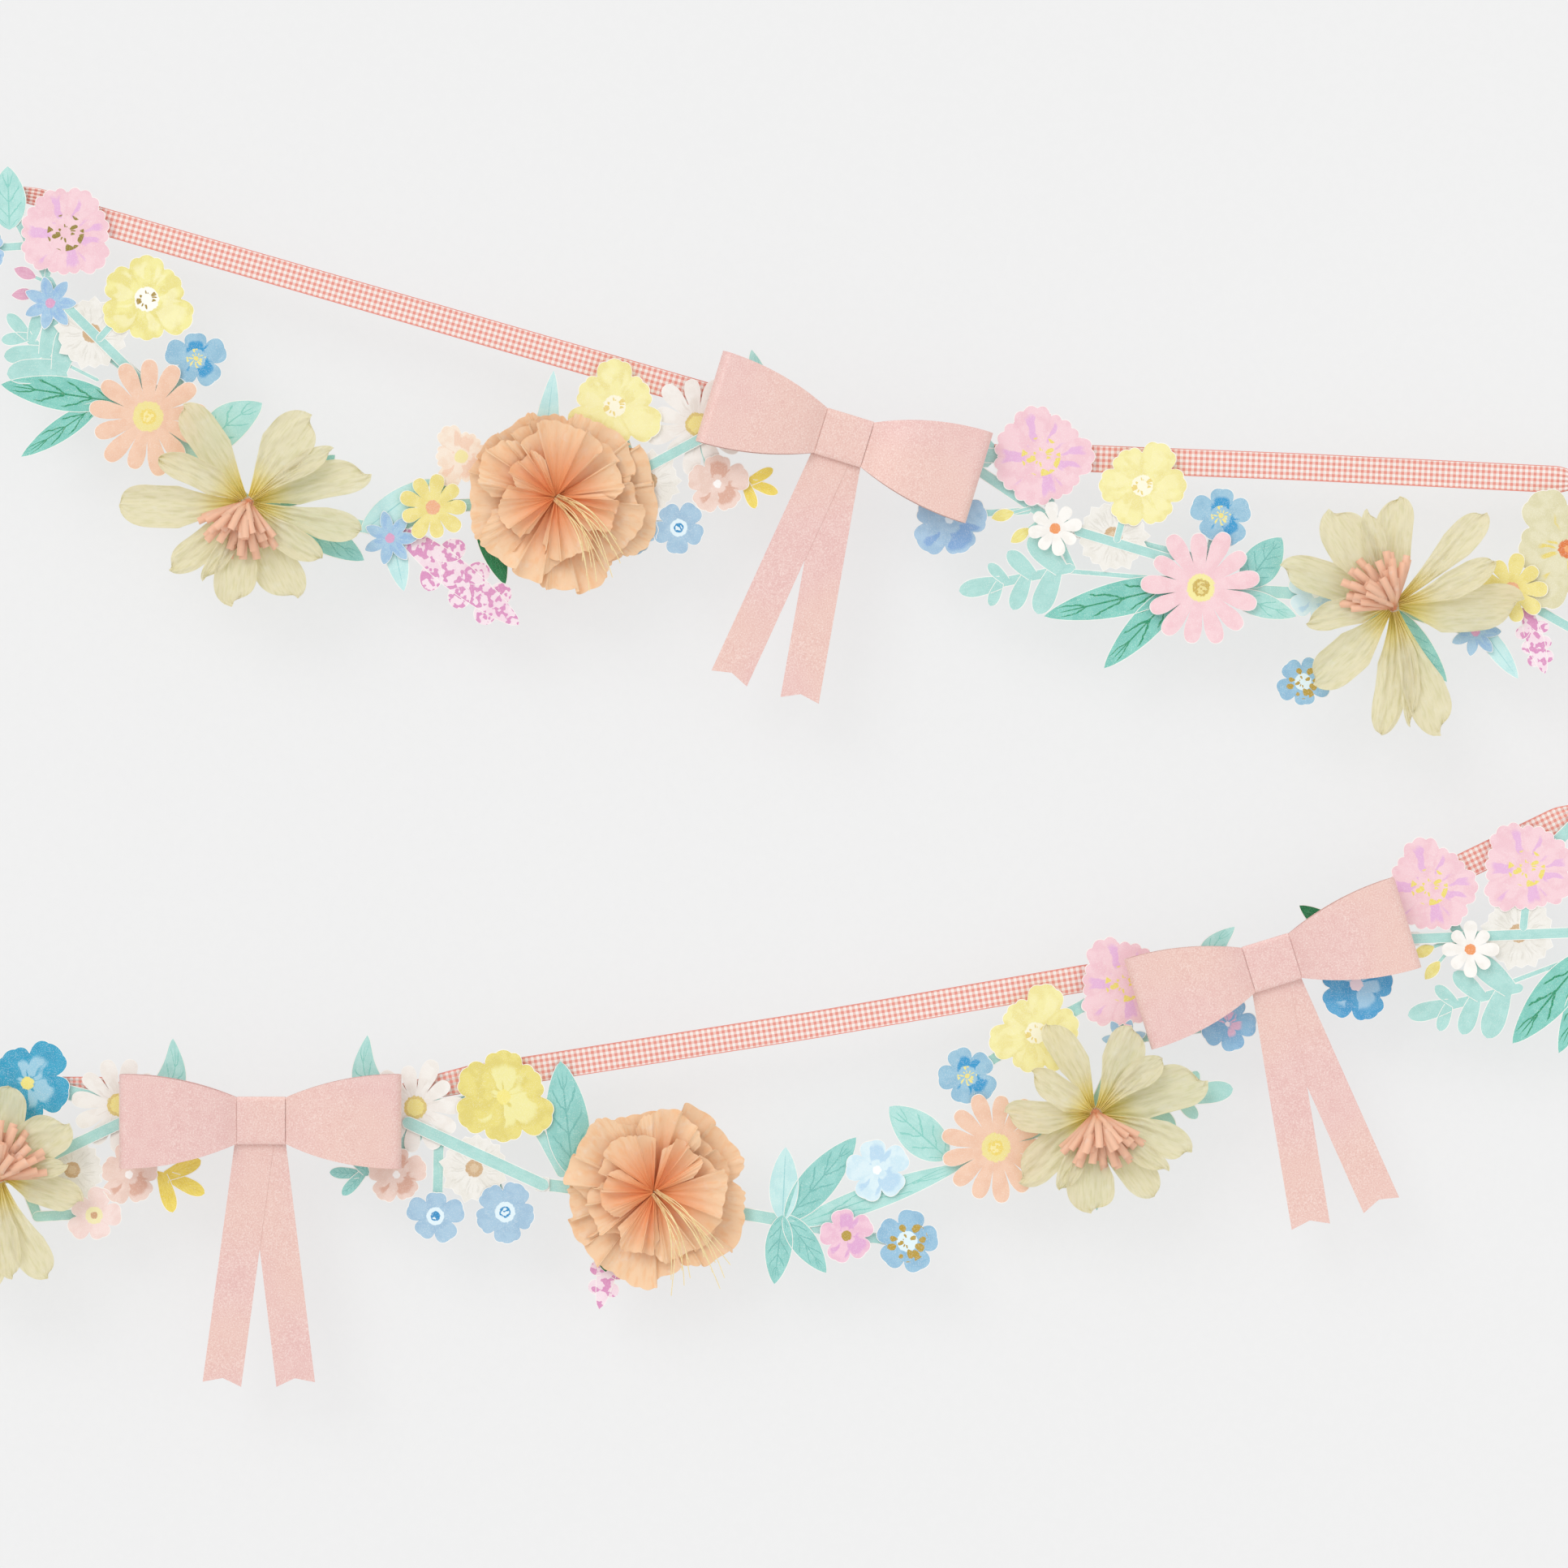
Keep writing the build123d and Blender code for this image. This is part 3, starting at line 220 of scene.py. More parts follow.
@dataclass(frozen=True)
class Card:
    """Uncoated printed card with a fine tooth."""

    base: str
    shade: str
    roughness: float = 0.62
    blotch: float = 7.0
    blotch_share: float = 0.6
    tooth: float = 0.45
    tooth_depth: float = 0.02
    speckle: str = "#fffdf8"
    speckle_share: float = 0.25

    def colour(self, tree: Tree) -> object:
        """Watercolour ground: two tones in soft blots."""
        blots = tree.mask(tree.flecks(self.blotch, 3.0), 0.42, 0.62)
        return tree.paint(self.base, self.shade, blots, self.blotch_share)

    def surface(self, tree: Tree) -> object:
        """Card shader with pale speckles on the high points of its tooth and a toothed surface.

        Args:
            tree: the material's nodes.

        Returns:
            The shader socket.
        """
        tooth = tree.flecks(self.tooth, 1.0)
        # pale speckles where the tooth is highest, the same noise that bumps the card
        speckled = tree.paint(self.colour(tree), self.speckle, tree.mask(tooth, 0.5, 0.72), self.speckle_share)
        bump = tree.bump(tooth, 0.5, self.tooth_depth)
        return tree.coat(speckled, self.roughness, bump, {"IOR": 1.5, "Specular IOR Level": 0.35})


@dataclass(frozen=True)
class Strokes:
    """Brush strokes along a flower's petals, between two shares of their length."""

    colour: str
    share: float
    count: float
    low: float = 0.52
    inner: float = 0.3
    outer: float = 0.75


@dataclass(frozen=True)
class FlowerPrint(Card):
    """Flower seen from the front: petals, radial brush strokes, heart, stamens and eye.

    Heart and eye are a colour and a radius, and stamens are a colour, a radius and a count.
    """

    border_share: float = 0.3
    strokes: Strokes | None = None
    heart: tuple = ()
    stamens: tuple = ()
    stamen_rows: float = 3.2
    eye: tuple = ()
    eye_mark: str = ""

    def colour(self, tree: Tree) -> object:
        """Paints the flower from its ground to its eye.

        Args:
            tree: the material's nodes.

        Returns:
            The colour socket.
        """
        flat = tree.uv("print")
        across, along = tree.petal()
        out = tree.add("ShaderNodeVectorMath", {0: flat}, "Value", operation="LENGTH")
        ground = tree.paint(super().colour(tree), self.shade, tree.mask(across, 0.8, 1.0),
                            tree.mask(along, 0.3, 0.6), self.border_share)
        if self.strokes:
            inner, outer, low = self.strokes.inner, self.strokes.outer, self.strokes.low
            streaks = tree.flecks(1.0, 1.0, self.around(tree, flat, out, self.strokes.count, 1.0))
            ground = tree.paint(ground, self.strokes.colour, tree.mask(along, inner, inner + 0.08),
                                tree.mask(along, outer + 0.14, outer),
                                tree.mask(streaks, low, low + 0.05), self.strokes.share)
        wobble = tree.maths("MULTIPLY_ADD", tree.flecks(1.6), 0.09, out)
        if self.heart:
            colour, radius = self.heart
            ground = tree.paint(ground, colour, tree.mask(wobble, radius + 0.06, radius + 0.035))
        if self.stamens:
            colour, radius, count = self.stamens
            cells = self.around(tree, flat, out, count, self.stamen_rows)
            dabs = tree.add("ShaderNodeTexVoronoi", {"Vector": cells, "Scale": 1.0, "Randomness": 0.55})
            ring = tree.both(tree.mask(out, radius, radius - 0.02), tree.mask(out, 0.1, 0.12))
            ground = tree.paint(ground, colour, tree.mask(dabs, 0.48, 0.43), ring)
        if self.eye:
            colour, radius = self.eye
            ground = tree.paint(ground, colour, tree.mask(wobble, radius + 0.06, radius + 0.035))
        if self.eye_mark:
            inner = tree.mask(wobble, radius * 0.75 + 0.05, radius * 0.75 + 0.03)
            curls = tree.mask(tree.flecks(1.8, 0.0), 0.47, 0.5)
            ground = tree.paint(ground, self.eye_mark, inner, curls)
        return ground

    @staticmethod
    def around(tree: Tree, flat: object, out: object, count: float, rows: float) -> object:
        """Coordinates that go round the flower and out from its middle, a little shaken.

        Args:
            tree: the material's nodes.
            flat: place on the flower, with its radius as 1.
            out: distance from the flower's centre.
            count: units once round the flower.
            rows: units from the middle to the rim.

        Returns:
            The vector socket.
        """
        shake = tree.add("ShaderNodeTexNoise", {"Vector": flat, "Scale": 3.0}, "Color")
        moved = tree.vectors("MULTIPLY_ADD", shake, (0.22, 0.22, 0.0), flat)
        heading = tree.vectors("NORMALIZE", tree.vectors("SUBTRACT", moved, (0.11, 0.11, 0.0)))
        ring = tree.add("ShaderNodeVectorMath", {0: heading, "Scale": count / math.tau},
                        operation="SCALE")
        rise = tree.add("ShaderNodeCombineXYZ", {"Z": tree.maths("MULTIPLY", out, rows)})
        return tree.vectors("ADD", ring, rise)


@dataclass(frozen=True)
class LeafPrint(Card):
    """Leaf or stem with a midrib and brushed side veins."""

    vein: str = ""
    vein_share: float = 0.8
    vein_count: float = 6.0
    vein_lean: float = 2.4
    vein_width: float = 0.09
    rib_width: float = 0.05

    def colour(self, tree: Tree) -> object:
        """Paints the leaf's ground, brush streaks and veins.

        Args:
            tree: the material's nodes.

        Returns:
            The colour socket.
        """
        across, along = tree.petal()
        stretched = tree.vectors("MULTIPLY", tree.uv("print"), (0.25, 2.2, 1.0))
        brush = tree.mask(tree.flecks(1.0, 2.0, stretched), 0.5, 0.62)
        ground = tree.paint(super().colour(tree), self.shade, brush, 0.35)
        if not self.vein:
            return ground
        slant = tree.maths("MULTIPLY_ADD", along, self.vein_count, 0.0)
        lean = tree.maths("MULTIPLY_ADD", across, -self.vein_lean, slant)
        saw = tree.maths("PINGPONG", tree.maths("MULTIPLY_ADD", tree.flecks(5.0), 0.5, lean), 0.5)
        veins = tree.both(tree.mask(saw, self.vein_width, self.vein_width * 0.5),
                          tree.mask(across, 0.78, 0.68))
        rib = tree.mask(across, self.rib_width, self.rib_width * 0.6)
        inside = tree.both(tree.mask(along, 0.04, 0.1), tree.mask(along, 0.93, 0.84))
        return tree.paint(ground, self.vein, tree.maths("MAXIMUM", veins, rib), inside, self.vein_share)


@dataclass(frozen=True)
class SpotPrint(Card):
    """Flower spike with dark bells on a pale ground."""

    spot: str = "#dc93c0"
    spot_size: float = 3.4

    def colour(self, tree: Tree) -> object:
        """Paints the spots over the ground."""
        spots = tree.mask(tree.flecks(self.spot_size, 1.0), 0.5, 0.54)
        return tree.paint(super().colour(tree), self.spot, spots)


@dataclass(frozen=True)
class PearlCard(Card):
    """Pearlescent bow card: fine grain with painted glints on its crests and painted shade in its pits, and
    a soft sheen.
    """

    warm: str = "#ecc8b8"
    # painted glint and painted shade: lighter and darker flecks laid on the grain
    painted_glint: str = "#f7e3dc"
    painted_pit_shade: str = "#d9a8a2"
    grain: float = 0.7
    patch: float = 60.0

    def surface(self, tree: Tree) -> object:
        """Pearl shader.

        Args:
            tree: the material's nodes.

        Returns:
            The shader socket.
        """
        grain = tree.flecks(self.grain, 3.0)
        warmth = tree.mask(tree.flecks(self.patch, 0.0), 0.35, 0.65)
        colour = tree.paint(self.colour(tree), self.warm, warmth, 0.5)
        # painted glint: lighter flecks on the high points of the grain that bumps the card
        colour = tree.paint(colour, self.painted_glint, tree.mask(grain, 0.5, 0.66), 0.55)
        # painted shade: darker flecks in the low points of the grain that bumps the card
        colour = tree.paint(colour, self.painted_pit_shade, tree.mask(grain, 0.46, 0.34), 0.4)
        return tree.coat(colour, self.roughness, tree.bump(grain, 0.4, self.tooth_depth), {
            "IOR": 1.5, "Metallic": 0.12, "Sheen Weight": 0.25, "Sheen Roughness": 0.4})


@dataclass(frozen=True)
class Gingham:
    """Woven gingham ribbon with its selvedge."""

    white: str = "#fffaf5"
    light: str = "#fbd2c7"
    full: str = "#f29c8e"
    selvedge: str = "#ee9586"
    check: float = 1.6
    selvedge_width: float = 0.5
    thread: float = 0.38

    def surface(self, tree: Tree) -> object:
        """Cloth shader on the ribbon's own UV map, in millimetres.

        Args:
            tree: the material's nodes.

        Returns:
            The shader socket.
        """
        flat = tree.uv("print")
        stripes = []
        weave = []
        for axis in (0, 1):
            value = tree.part(flat, axis)
            part = tree.maths("FRACT", tree.maths("MULTIPLY", value, 0.5 / self.check))
            stripes.append(tree.maths("GREATER_THAN", part, 0.5))
            weave.append(tree.maths("SINE", tree.maths("MULTIPLY", value, math.tau / self.thread)))
        colour = tree.paint(self.white, self.light, tree.maths("MAXIMUM", *stripes))
        colour = tree.paint(colour, self.full, *stripes)
        edge = tree.maths("ABSOLUTE", tree.part(flat, 0))
        start = RIBBON_WIDTH / 2 - self.selvedge_width
        colour = tree.paint(colour, self.selvedge, tree.mask(edge, start, start + 0.1))
        threads = tree.both(*weave)
        # painted highlight: white on the crests where the threads cross, the same weave that sets the bump
        colour = tree.paint(colour, "#ffffff", tree.mask(threads, 0.2, 0.9), 0.12)
        bump = tree.bump(threads, 0.35, 0.05)
        cloth = tree.coat(colour, 0.75, bump, {"Sheen Weight": 0.3})
        through = tree.add("ShaderNodeBsdfTranslucent", {"Color": colour, "Normal": bump})
        return tree.blend(0.15, cloth, through)


@dataclass(frozen=True)
class Tissue:
    """Crinkled tissue paper that lets light through; its creases run along each petal."""

    base: str
    shade: str
    root: str
    root_share: float = 0.3
    through: float = 0.4
    clear: float = 0.08
    crease: float = 1.1
    crease_depth: float = 0.35
    crumple: float = 5.0

    def surface(self, tree: Tree) -> object:
        """Tissue shader.

        Args:
            tree: the material's nodes.

        Returns:
            The shader socket.
        """
        stretched = tree.vectors("MULTIPLY", tree.uv("print"), (1 / self.crease, 0.12, 1.0))
        creases = tree.flecks(1.0, 3.0, stretched)
        crumple = tree.flecks(self.crumple, 4.0)
        # painted shade: the shade colour laid along the creases, which also set the bump
        colour = tree.paint(self.base, self.shade, tree.mask(creases, 0.45, 0.7), 0.7)
        # painted highlight: white on the crests of the crumple, which also sets the bump
        colour = tree.paint(colour, "#ffffff", tree.mask(crumple, 0.55, 0.75), 0.18)
        colour = tree.paint(colour, self.root, tree.mask(tree.petal()[1], self.root_share, 0.0))
        bump = tree.bump(tree.maths("ADD", creases, crumple), 0.8, self.crease_depth)
        paper = tree.coat(colour, 0.42, bump, {"IOR": 1.45, "Specular IOR Level": 0.4})
        glow = tree.add("ShaderNodeBsdfTranslucent", {"Color": colour, "Normal": bump})
        clear = tree.add("ShaderNodeBsdfTransparent", {"Color": colour})
        return tree.blend(self.clear, tree.blend(self.through, paper, glow), clear)


@dataclass(frozen=True)
class GoldThread:
    """Twisted metallic thread."""

    base: str = "#fbe6b0"
    glint: str = "#fff0c4"
    twist: float = 0.8

    def surface(self, tree: Tree) -> object:
        """Thread shader.

        Args:
            tree: the material's nodes.

        Returns:
            The shader socket.
        """
        glints = tree.flecks(self.twist, 2.0)
        colour = tree.paint(self.base, self.glint, tree.mask(glints, 0.5, 0.62))
        return tree.coat(colour, 0.4, tree.bump(glints, 1.0, 0.1), {"Metallic": 0.6})


@dataclass(frozen=True)
class FoamBlock:
    """White closed-cell foam."""

    base: str = "#f4f3ef"
    # painted shade in the foam's cells
    painted_cell_shade: str = "#dedcd6"
    cell: float = 0.5

    def surface(self, tree: Tree) -> object:
        """Foam shader.

        Args:
            tree: the material's nodes.

        Returns:
            The shader socket.
        """
        cells = tree.flecks(self.cell, 1.0)
        # painted shade: darker spots on the cell pattern that also sets the bump
        colour = tree.paint(self.base, self.painted_cell_shade, tree.mask(cells, 0.52, 0.7))
        return tree.coat(colour, 0.9, tree.bump(cells, 1.0, 0.15))


PINK_PEONY = FlowerPrint("#f5d0d7", "#eebfca", border_share=0.35, stamens=("#efdc70", 0.38, 12),
                         strokes=Strokes("#e3aedd", 0.75, 16, 0.56))

FINISHES = {
    # cut edge of the card core
    "card_edge": Card("#fbf8f2", "#f3eee6", speckle_share=0.0),
    "bow_edge": Card("#f8e9e2", "#f3ddd5", speckle_share=0.0),
    # daisies
    "white_daisy": FlowerPrint("#f4f0ea", "#ece5dd", 0.4, border_share=0.15,
                               strokes=Strokes("#e2d9cf", 0.5, 40, 0.56, 0.2, 0.5),
                               heart=("#dfc777", 0.23), eye=("#f1e28c", 0.17)),
    "peach_daisy": FlowerPrint("#f2cab0", "#ecbea2", 0.45, border_share=0.1, heart=("#efe093", 0.25),
                               eye=("#efd66c", 0.13), eye_mark="#f6e7a0"),
    "pink_daisy": FlowerPrint("#f5d0d5", "#f0c3ca", 0.45, border_share=0.1, heart=("#f4e99c", 0.23),
                              eye=("#cdb056", 0.14), eye_mark="#e9d98c"),
    "yellow_daisy": FlowerPrint("#f0e290", "#e6d478", 0.45, border_share=0.1, heart=("#efb188", 0.2)),
    "small_daisy": FlowerPrint("#f9f6f1", "#efeae2", 0.45, border_share=0.1, heart=("#f09a5e", 0.19)),
    # round-petalled flowers
    "pink_peony": PINK_PEONY,
    "olive_peony": replace(PINK_PEONY, stamens=("#94802c", 0.38, 12)),
    "yellow_bloom": FlowerPrint("#f3eb9c", "#e4d67c", border_share=0.5, strokes=Strokes("#fbf6c8", 0.5, 12),
                                heart=("#fdfbf2", 0.24), stamens=("#a88a2e", 0.22, 12)),
    "yellow_soft": FlowerPrint("#f5eda8", "#eadc8c", border_share=0.4, strokes=Strokes("#f8f1b6", 0.6, 12),
                               heart=("#fbf6dc", 0.22), stamens=("#ecd47e", 0.24, 12)),
    "yellow_star": FlowerPrint("#eadc7e", "#dccb6a", border_share=0.2, heart=("#f4e684", 0.13),
                               strokes=Strokes("#f3eda6", 0.85, 8, inner=0.05, outer=0.6)),
    "cream_bloom": FlowerPrint("#e4debb", "#d6cfa2", strokes=Strokes("#e8d266", 0.9, 14, 0.58, 0.2, 0.5),
                               heart=("#de7a40", 0.14), eye=("#f3a766", 0.05)),
    "white_frilly": FlowerPrint("#efece5", "#e5e1d7", strokes=Strokes("#d8d4ca", 0.55, 60, 0.56, outer=0.7),
                                heart=("#cfae86", 0.24), eye=("#dcc19c", 0.12)),
    # blue flowers
    "blue_star": FlowerPrint("#a6c9e2", "#94b9d8", strokes=Strokes("#88b0de", 0.5, 14),
                             heart=("#dda2c6", 0.17)),
    "blue_brush": FlowerPrint("#9ac4da", "#88b6d0", border_share=0.25, heart=("#9ac4da", 0.3),
                              strokes=Strokes("#2b97cc", 0.95, 6, outer=0.6),
                              stamens=("#f3e48c", 0.32, 16), eye=("#efdf84", 0.08)),
    "blue_ring": FlowerPrint("#a8c8de", "#98bad4", heart=("#e2f3f9", 0.3), eye=("#2f8fc6", 0.16),
                             eye_mark="#e2f3f9"),
    "ice_blue": FlowerPrint("#dcf0f6", "#c6e4f1", strokes=Strokes("#b4d6ee", 0.8, 7),
                            heart=("#fbfdfd", 0.12)),
    "gilt_blue": FlowerPrint("#97c2dc", "#86b3d0", heart=("#e0f2f7", 0.3), stamens=("#b99a3c", 0.62, 11)),
    "bright_blue": FlowerPrint("#38a5c9", "#2c97bd", border_share=0.2, heart=("#f4e684", 0.14),
                               strokes=Strokes("#a2d0e4", 0.9, 8, inner=0.12, outer=0.55)),
    "bright_star": FlowerPrint("#58a9d6", "#3d97cb", border_share=0.2, heart=("#f6dfe6", 0.16),
                               strokes=Strokes("#a9d2ec", 0.9, 9, inner=0.1, outer=0.6)),
    "sky_pansy": FlowerPrint("#adcde6", "#9abdd9", heart=("#e7f2fa", 0.1),
                             strokes=Strokes("#7ea8da", 0.8, 7, inner=0.35, outer=0.8)),
    "rosy_blue": FlowerPrint("#8fbede", "#7bacd2", heart=("#f6e6ee", 0.08),
                             strokes=Strokes("#e7b6cf", 0.9, 9, inner=0.08, outer=0.4)),
    # pink and peach flowers
    "cream_blush": FlowerPrint("#f8e8d6", "#f3d6bd", strokes=Strokes("#f2c9ae", 0.7, 7),
                               heart=("#f3e7a6", 0.2)),
    "lilac_five": FlowerPrint("#f2c8d8", "#e8b4cc", strokes=Strokes("#dfa5d2", 0.85, 7),
                              heart=("#b89a3e", 0.17)),
    "shell_five": FlowerPrint("#f6ded8", "#eecfc7", heart=("#f3e9b4", 0.3), eye=("#d3a57c", 0.12)),
    "peach_pansy": FlowerPrint("#f1d6ca", "#e7c7b8", strokes=Strokes("#dba892", 0.85, 7, outer=0.7),
                               heart=("#fdfaf7", 0.12)),
    # stems and leaves
    "mint_stem": LeafPrint("#b1ded7", "#a2d3cc"),
    "mint_leaf": LeafPrint("#b5e3dc", "#a2d8d0", vein="#7fcbbf", vein_width=0.08, vein_count=4.0,
                           vein_lean=1.3),
    "teal_leaf": LeafPrint("#86cfc1", "#70bfb1", vein="#249269", vein_share=1.0, vein_width=0.1,
                           vein_count=4.0, vein_lean=1.3, rib_width=0.06),
    "sea_leaf": LeafPrint("#98d4cd", "#84c6be", vein="#6bb5ae", vein_count=5.0, vein_lean=1.4),
    "ice_leaf": LeafPrint("#c8ecea", "#b6e2e2", vein="#93cfd2", vein_count=1.0, vein_width=0.0),
    "green_leaf": LeafPrint("#1f7d4b", "#17693c", vein="#3c9a66", vein_share=0.5, speckle_share=0.1),
    "yellow_leaf": LeafPrint("#f4dd66", "#eacf52", vein="#e0bf48", vein_share=0.5),
    "pink_bud": LeafPrint("#e2abc2", "#d795b2"),
    "yellow_bud": LeafPrint("#f1e690", "#e3d272"),
    "foxglove": SpotPrint("#f6e2ea", "#f1d3e0"),
    # bows, ribbon, tissue, thread and foam
    "bow_card": PearlCard("#eac4be", "#e6bbb6", 0.45, tooth_depth=0.03),
    "gingham": Gingham(),
    "lily_tissue": Tissue("#f6f1d9", "#ebe7c3", "#fbefa4", 0.42, 0.42, 0.12, crease_depth=0.25),
    "coral_tissue": Tissue("#ffd3b4", "#ffc49f", "#ffb78e", 0.5, 0.2, 0.03),
    "peach_tissue": Tissue("#ffddb6", "#fdcd9a", "#fba267", 0.8, 0.14, 0.03),
    "gold_thread": GoldThread(),
    "foam": FoamBlock(),
}


def at(x_px: float, y_px: float) -> Grid:
    """Place on the drawing, in millimetres, of a place on the picture."""
    return np.array([(x_px - NAIL_PX[0]) * PIXEL, (NAIL_PX[1] - y_px) * PIXEL])


def turned(x: Grid, y: Grid, turn: float, centre: Grid | Point) -> tuple[Grid, Grid]:
    """Places turned about the origin by an angle in radians, then moved to a centre."""
    return (centre[0] + x * math.cos(turn) - y * math.sin(turn),
            centre[1] + x * math.sin(turn) + y * math.cos(turn))


def course(start: Grid, end: Grid) -> tuple[float, Grid, Grid]:
    """Length, heading and left side of the way between two places.

    Args:
        start: the place that it leaves.
        end: the place that it goes to.

    Returns:
        The length and two directions of length 1.
    """
    length = float(np.hypot(*(end - start)))
    heading = (end - start) / length
    return length, heading, np.array([-heading[1], heading[0]])


def sides(run: Grid) -> Grid:
    """Left side, of length 1, of each step of a line."""
    run = run / np.hypot(*run.T)[:, None]
    return np.column_stack([-run[:, 1], run[:, 0]])


def distances(line: Grid) -> Grid:
    """How far along a line each of its points is."""
    return np.concatenate([[0], np.cumsum(np.linalg.norm(np.diff(line, axis=0), axis=1))])


def pairs(like: Grid, first: Grid, second: Grid) -> Grid:
    """Two coordinates for each point of a grid, from rows or columns of them."""
    return np.dstack([np.broadcast_to(values, like.shape[:2]) for values in (first, second)])


def triples(x: Grid, y: Grid, z: Grid) -> Grid:
    """Points from their coordinates, where any may be a row or a column."""
    return np.stack(np.broadcast_arrays(x, y, z), axis=-1)


def put_in(name: str, data: bpy.types.ID) -> bpy.types.Object:
    """Object of a mesh, light or camera, put in the scene."""
    piece = bpy.data.objects.new(name, data)
    bpy.context.scene.collection.objects.link(piece)
    return piece


class Sheets:
    """Closed thin sheets, in drawing millimetres, that become one mesh object."""

    def __init__(self) -> None:
        """Starts with no sheets."""
        self.points: list = []
        self.flats: list = []
        self.petals: list = []
        self.faces: list = []
        self.slots: list = []
        self.finishes: list[str] = []

    def slot(self, finish: str) -> int:
        """Material slot of a finish, added where it is new."""
        if finish not in self.finishes:
            self.finishes.append(finish)
        return self.finishes.index(finish)

    def grid(self, points: Grid, flat: Grid, petal: Grid, wrap: bool) -> list[list[int]]:
        """Adds points with their coordinates and numbers them.

        Args:
            points: rows by columns by 3.
            flat: print coordinates of each point.
            petal: petal coordinates of each point, across and along.
            wrap: whether the last column joins the first one.

        Returns:
            The points' numbers, row by row, with the first one again at the end where they wrap.
        """
        first = len(self.points)
        for store, values in ((self.points, points), (self.flats, flat), (self.petals, petal)):
            store.extend(values.reshape(-1, values.shape[-1]).tolist())
        numbers = np.arange(first, len(self.points)).reshape(points.shape[:2]).tolist()
        return [row + row[:1] for row in numbers] if wrap else numbers

    def face(self, slot: int, corners: list[int] | tuple[int, ...]) -> None:
        """Adds one face."""
        self.faces.append(list(corners))
        self.slots.append(slot)

    def fan(self, slot: int, ring: list[int], way: int, centre: Grid | tuple,
            flat: Grid | Point = (0.0, 0.0)) -> None:
        """Closes a ring with triangles round a centre.

        Args:
            slot: their material slot.
            ring: the ring's point numbers.
            way: 1 or -1, which way the triangles face.
            centre: the point in the middle.
            flat: its print coordinates.
        """
        middle = len(self.points)
        self.points.append(list(centre))
        self.flats.append(list(flat))
        self.petals.append([0.0, 0.0])
        for corner, following in zip(ring, ring[1:]):
            self.face(slot, (middle, corner, following)[::way])

    def add(self, front: Grid, back: Grid, flat: Grid, petal: Grid, finish: str, rim: str,
            wrap: bool = False, centres: tuple | None = None, inset: bool = False) -> None:
        """Adds one closed sheet between two grids of points.

        Args:
            front: points of the side that faces the viewer, rows by columns by 3.
            back: points of the other side.
            flat: print coordinates of each point.
            petal: petal coordinates of each point, across and along.
            finish: finish of both sides.
            rim: finish of the cut edge.
            wrap: whether the last column joins the first one.
            centres: front and back point that close the first row to a fan.
            inset: whether the outermost cells show the rim's finish.
        """
        face_slot = self.slot(finish)
        rim_slot = self.slot(rim)
        ahead = self.grid(front, flat, petal, wrap)
        behind = self.grid(back, flat, petal, wrap)
        last = len(ahead) - 1
        spans = len(ahead[0]) - 1

        def wall(row: int, column: int, next_row: int, next_column: int) -> None:
            """Adds one face of the cut edge."""
            self.face(rim_slot, [ahead[row][column], behind[row][column],
                                 behind[next_row][next_column], ahead[next_row][next_column]])

        for row in range(last):
            for column in range(spans):
                outermost = row == last - 1 if wrap else column in (0, spans - 1)
                for side, way in ((ahead, 1), (behind, -1)):
                    ring = [side[row][column], side[row][column + 1],
                            side[row + 1][column + 1], side[row + 1][column]]
                    self.face(rim_slot if inset and outermost else face_slot, ring[::way])
        for column in range(spans):
            wall(last, column, last, column + 1)
            if centres is None:
                wall(0, column + 1, 0, column)
        if not wrap:
            for row in range(last):
                wall(row, 0, row + 1, 0)
                wall(row + 1, spans, row, spans)
        if centres is not None:
            self.fan(face_slot, ahead[0], 1, centres[0])
            self.fan(face_slot, behind[0], -1, centres[1])

    def plate(self, spots: Grid, height: Grid, level: float, flat: Grid, petal: Grid, finish: str,
              wrap: bool = False, centre: Grid | None = None, inset: bool = True) -> None:
        """Adds a card of even thickness over flat spots.

        Args:
            spots: places on the drawing, rows by columns by 2.
            height: how far each spot is curled towards the viewer.
            level: level of the card's back.
            flat: print coordinates of each spot.
            petal: petal coordinates of each spot.
            finish: finish of both sides.
            wrap: whether the last column joins the first one.
            centre: middle of a wrapped plate.
            inset: whether a pale cut edge shows round the print.
        """
        back = np.dstack([spots, height + level])
        front = np.dstack([spots, height + level + CARD])
        centres = None
        if centre is not None:
            base = level + float(height[0].mean())
            centres = ((*centre, base + CARD), (*centre, base))
        self.add(front, back, flat, petal, finish, "card_edge", wrap, centres, inset)

    def tube(self, outer: Grid, flat: Grid, finish: str) -> None:
        """Adds a closed solid whose rows are rings, with a fan at each end.

        Args:
            outer: rings of points, rows by columns by 3.
            flat: print coordinates of each point.
            finish: its finish.
        """
        slot = self.slot(finish)
        rings = self.grid(outer, flat, flat, True)
        for ring, following in zip(rings, rings[1:]):
            for a, b, c, d in zip(ring, ring[1:], following[1:], following):
                self.face(slot, [a, b, c, d])
        for row, way in ((0, -1), (-1, 1)):
            self.fan(slot, rings[row], way, outer[row].mean(axis=0), flat[row].mean(axis=0))

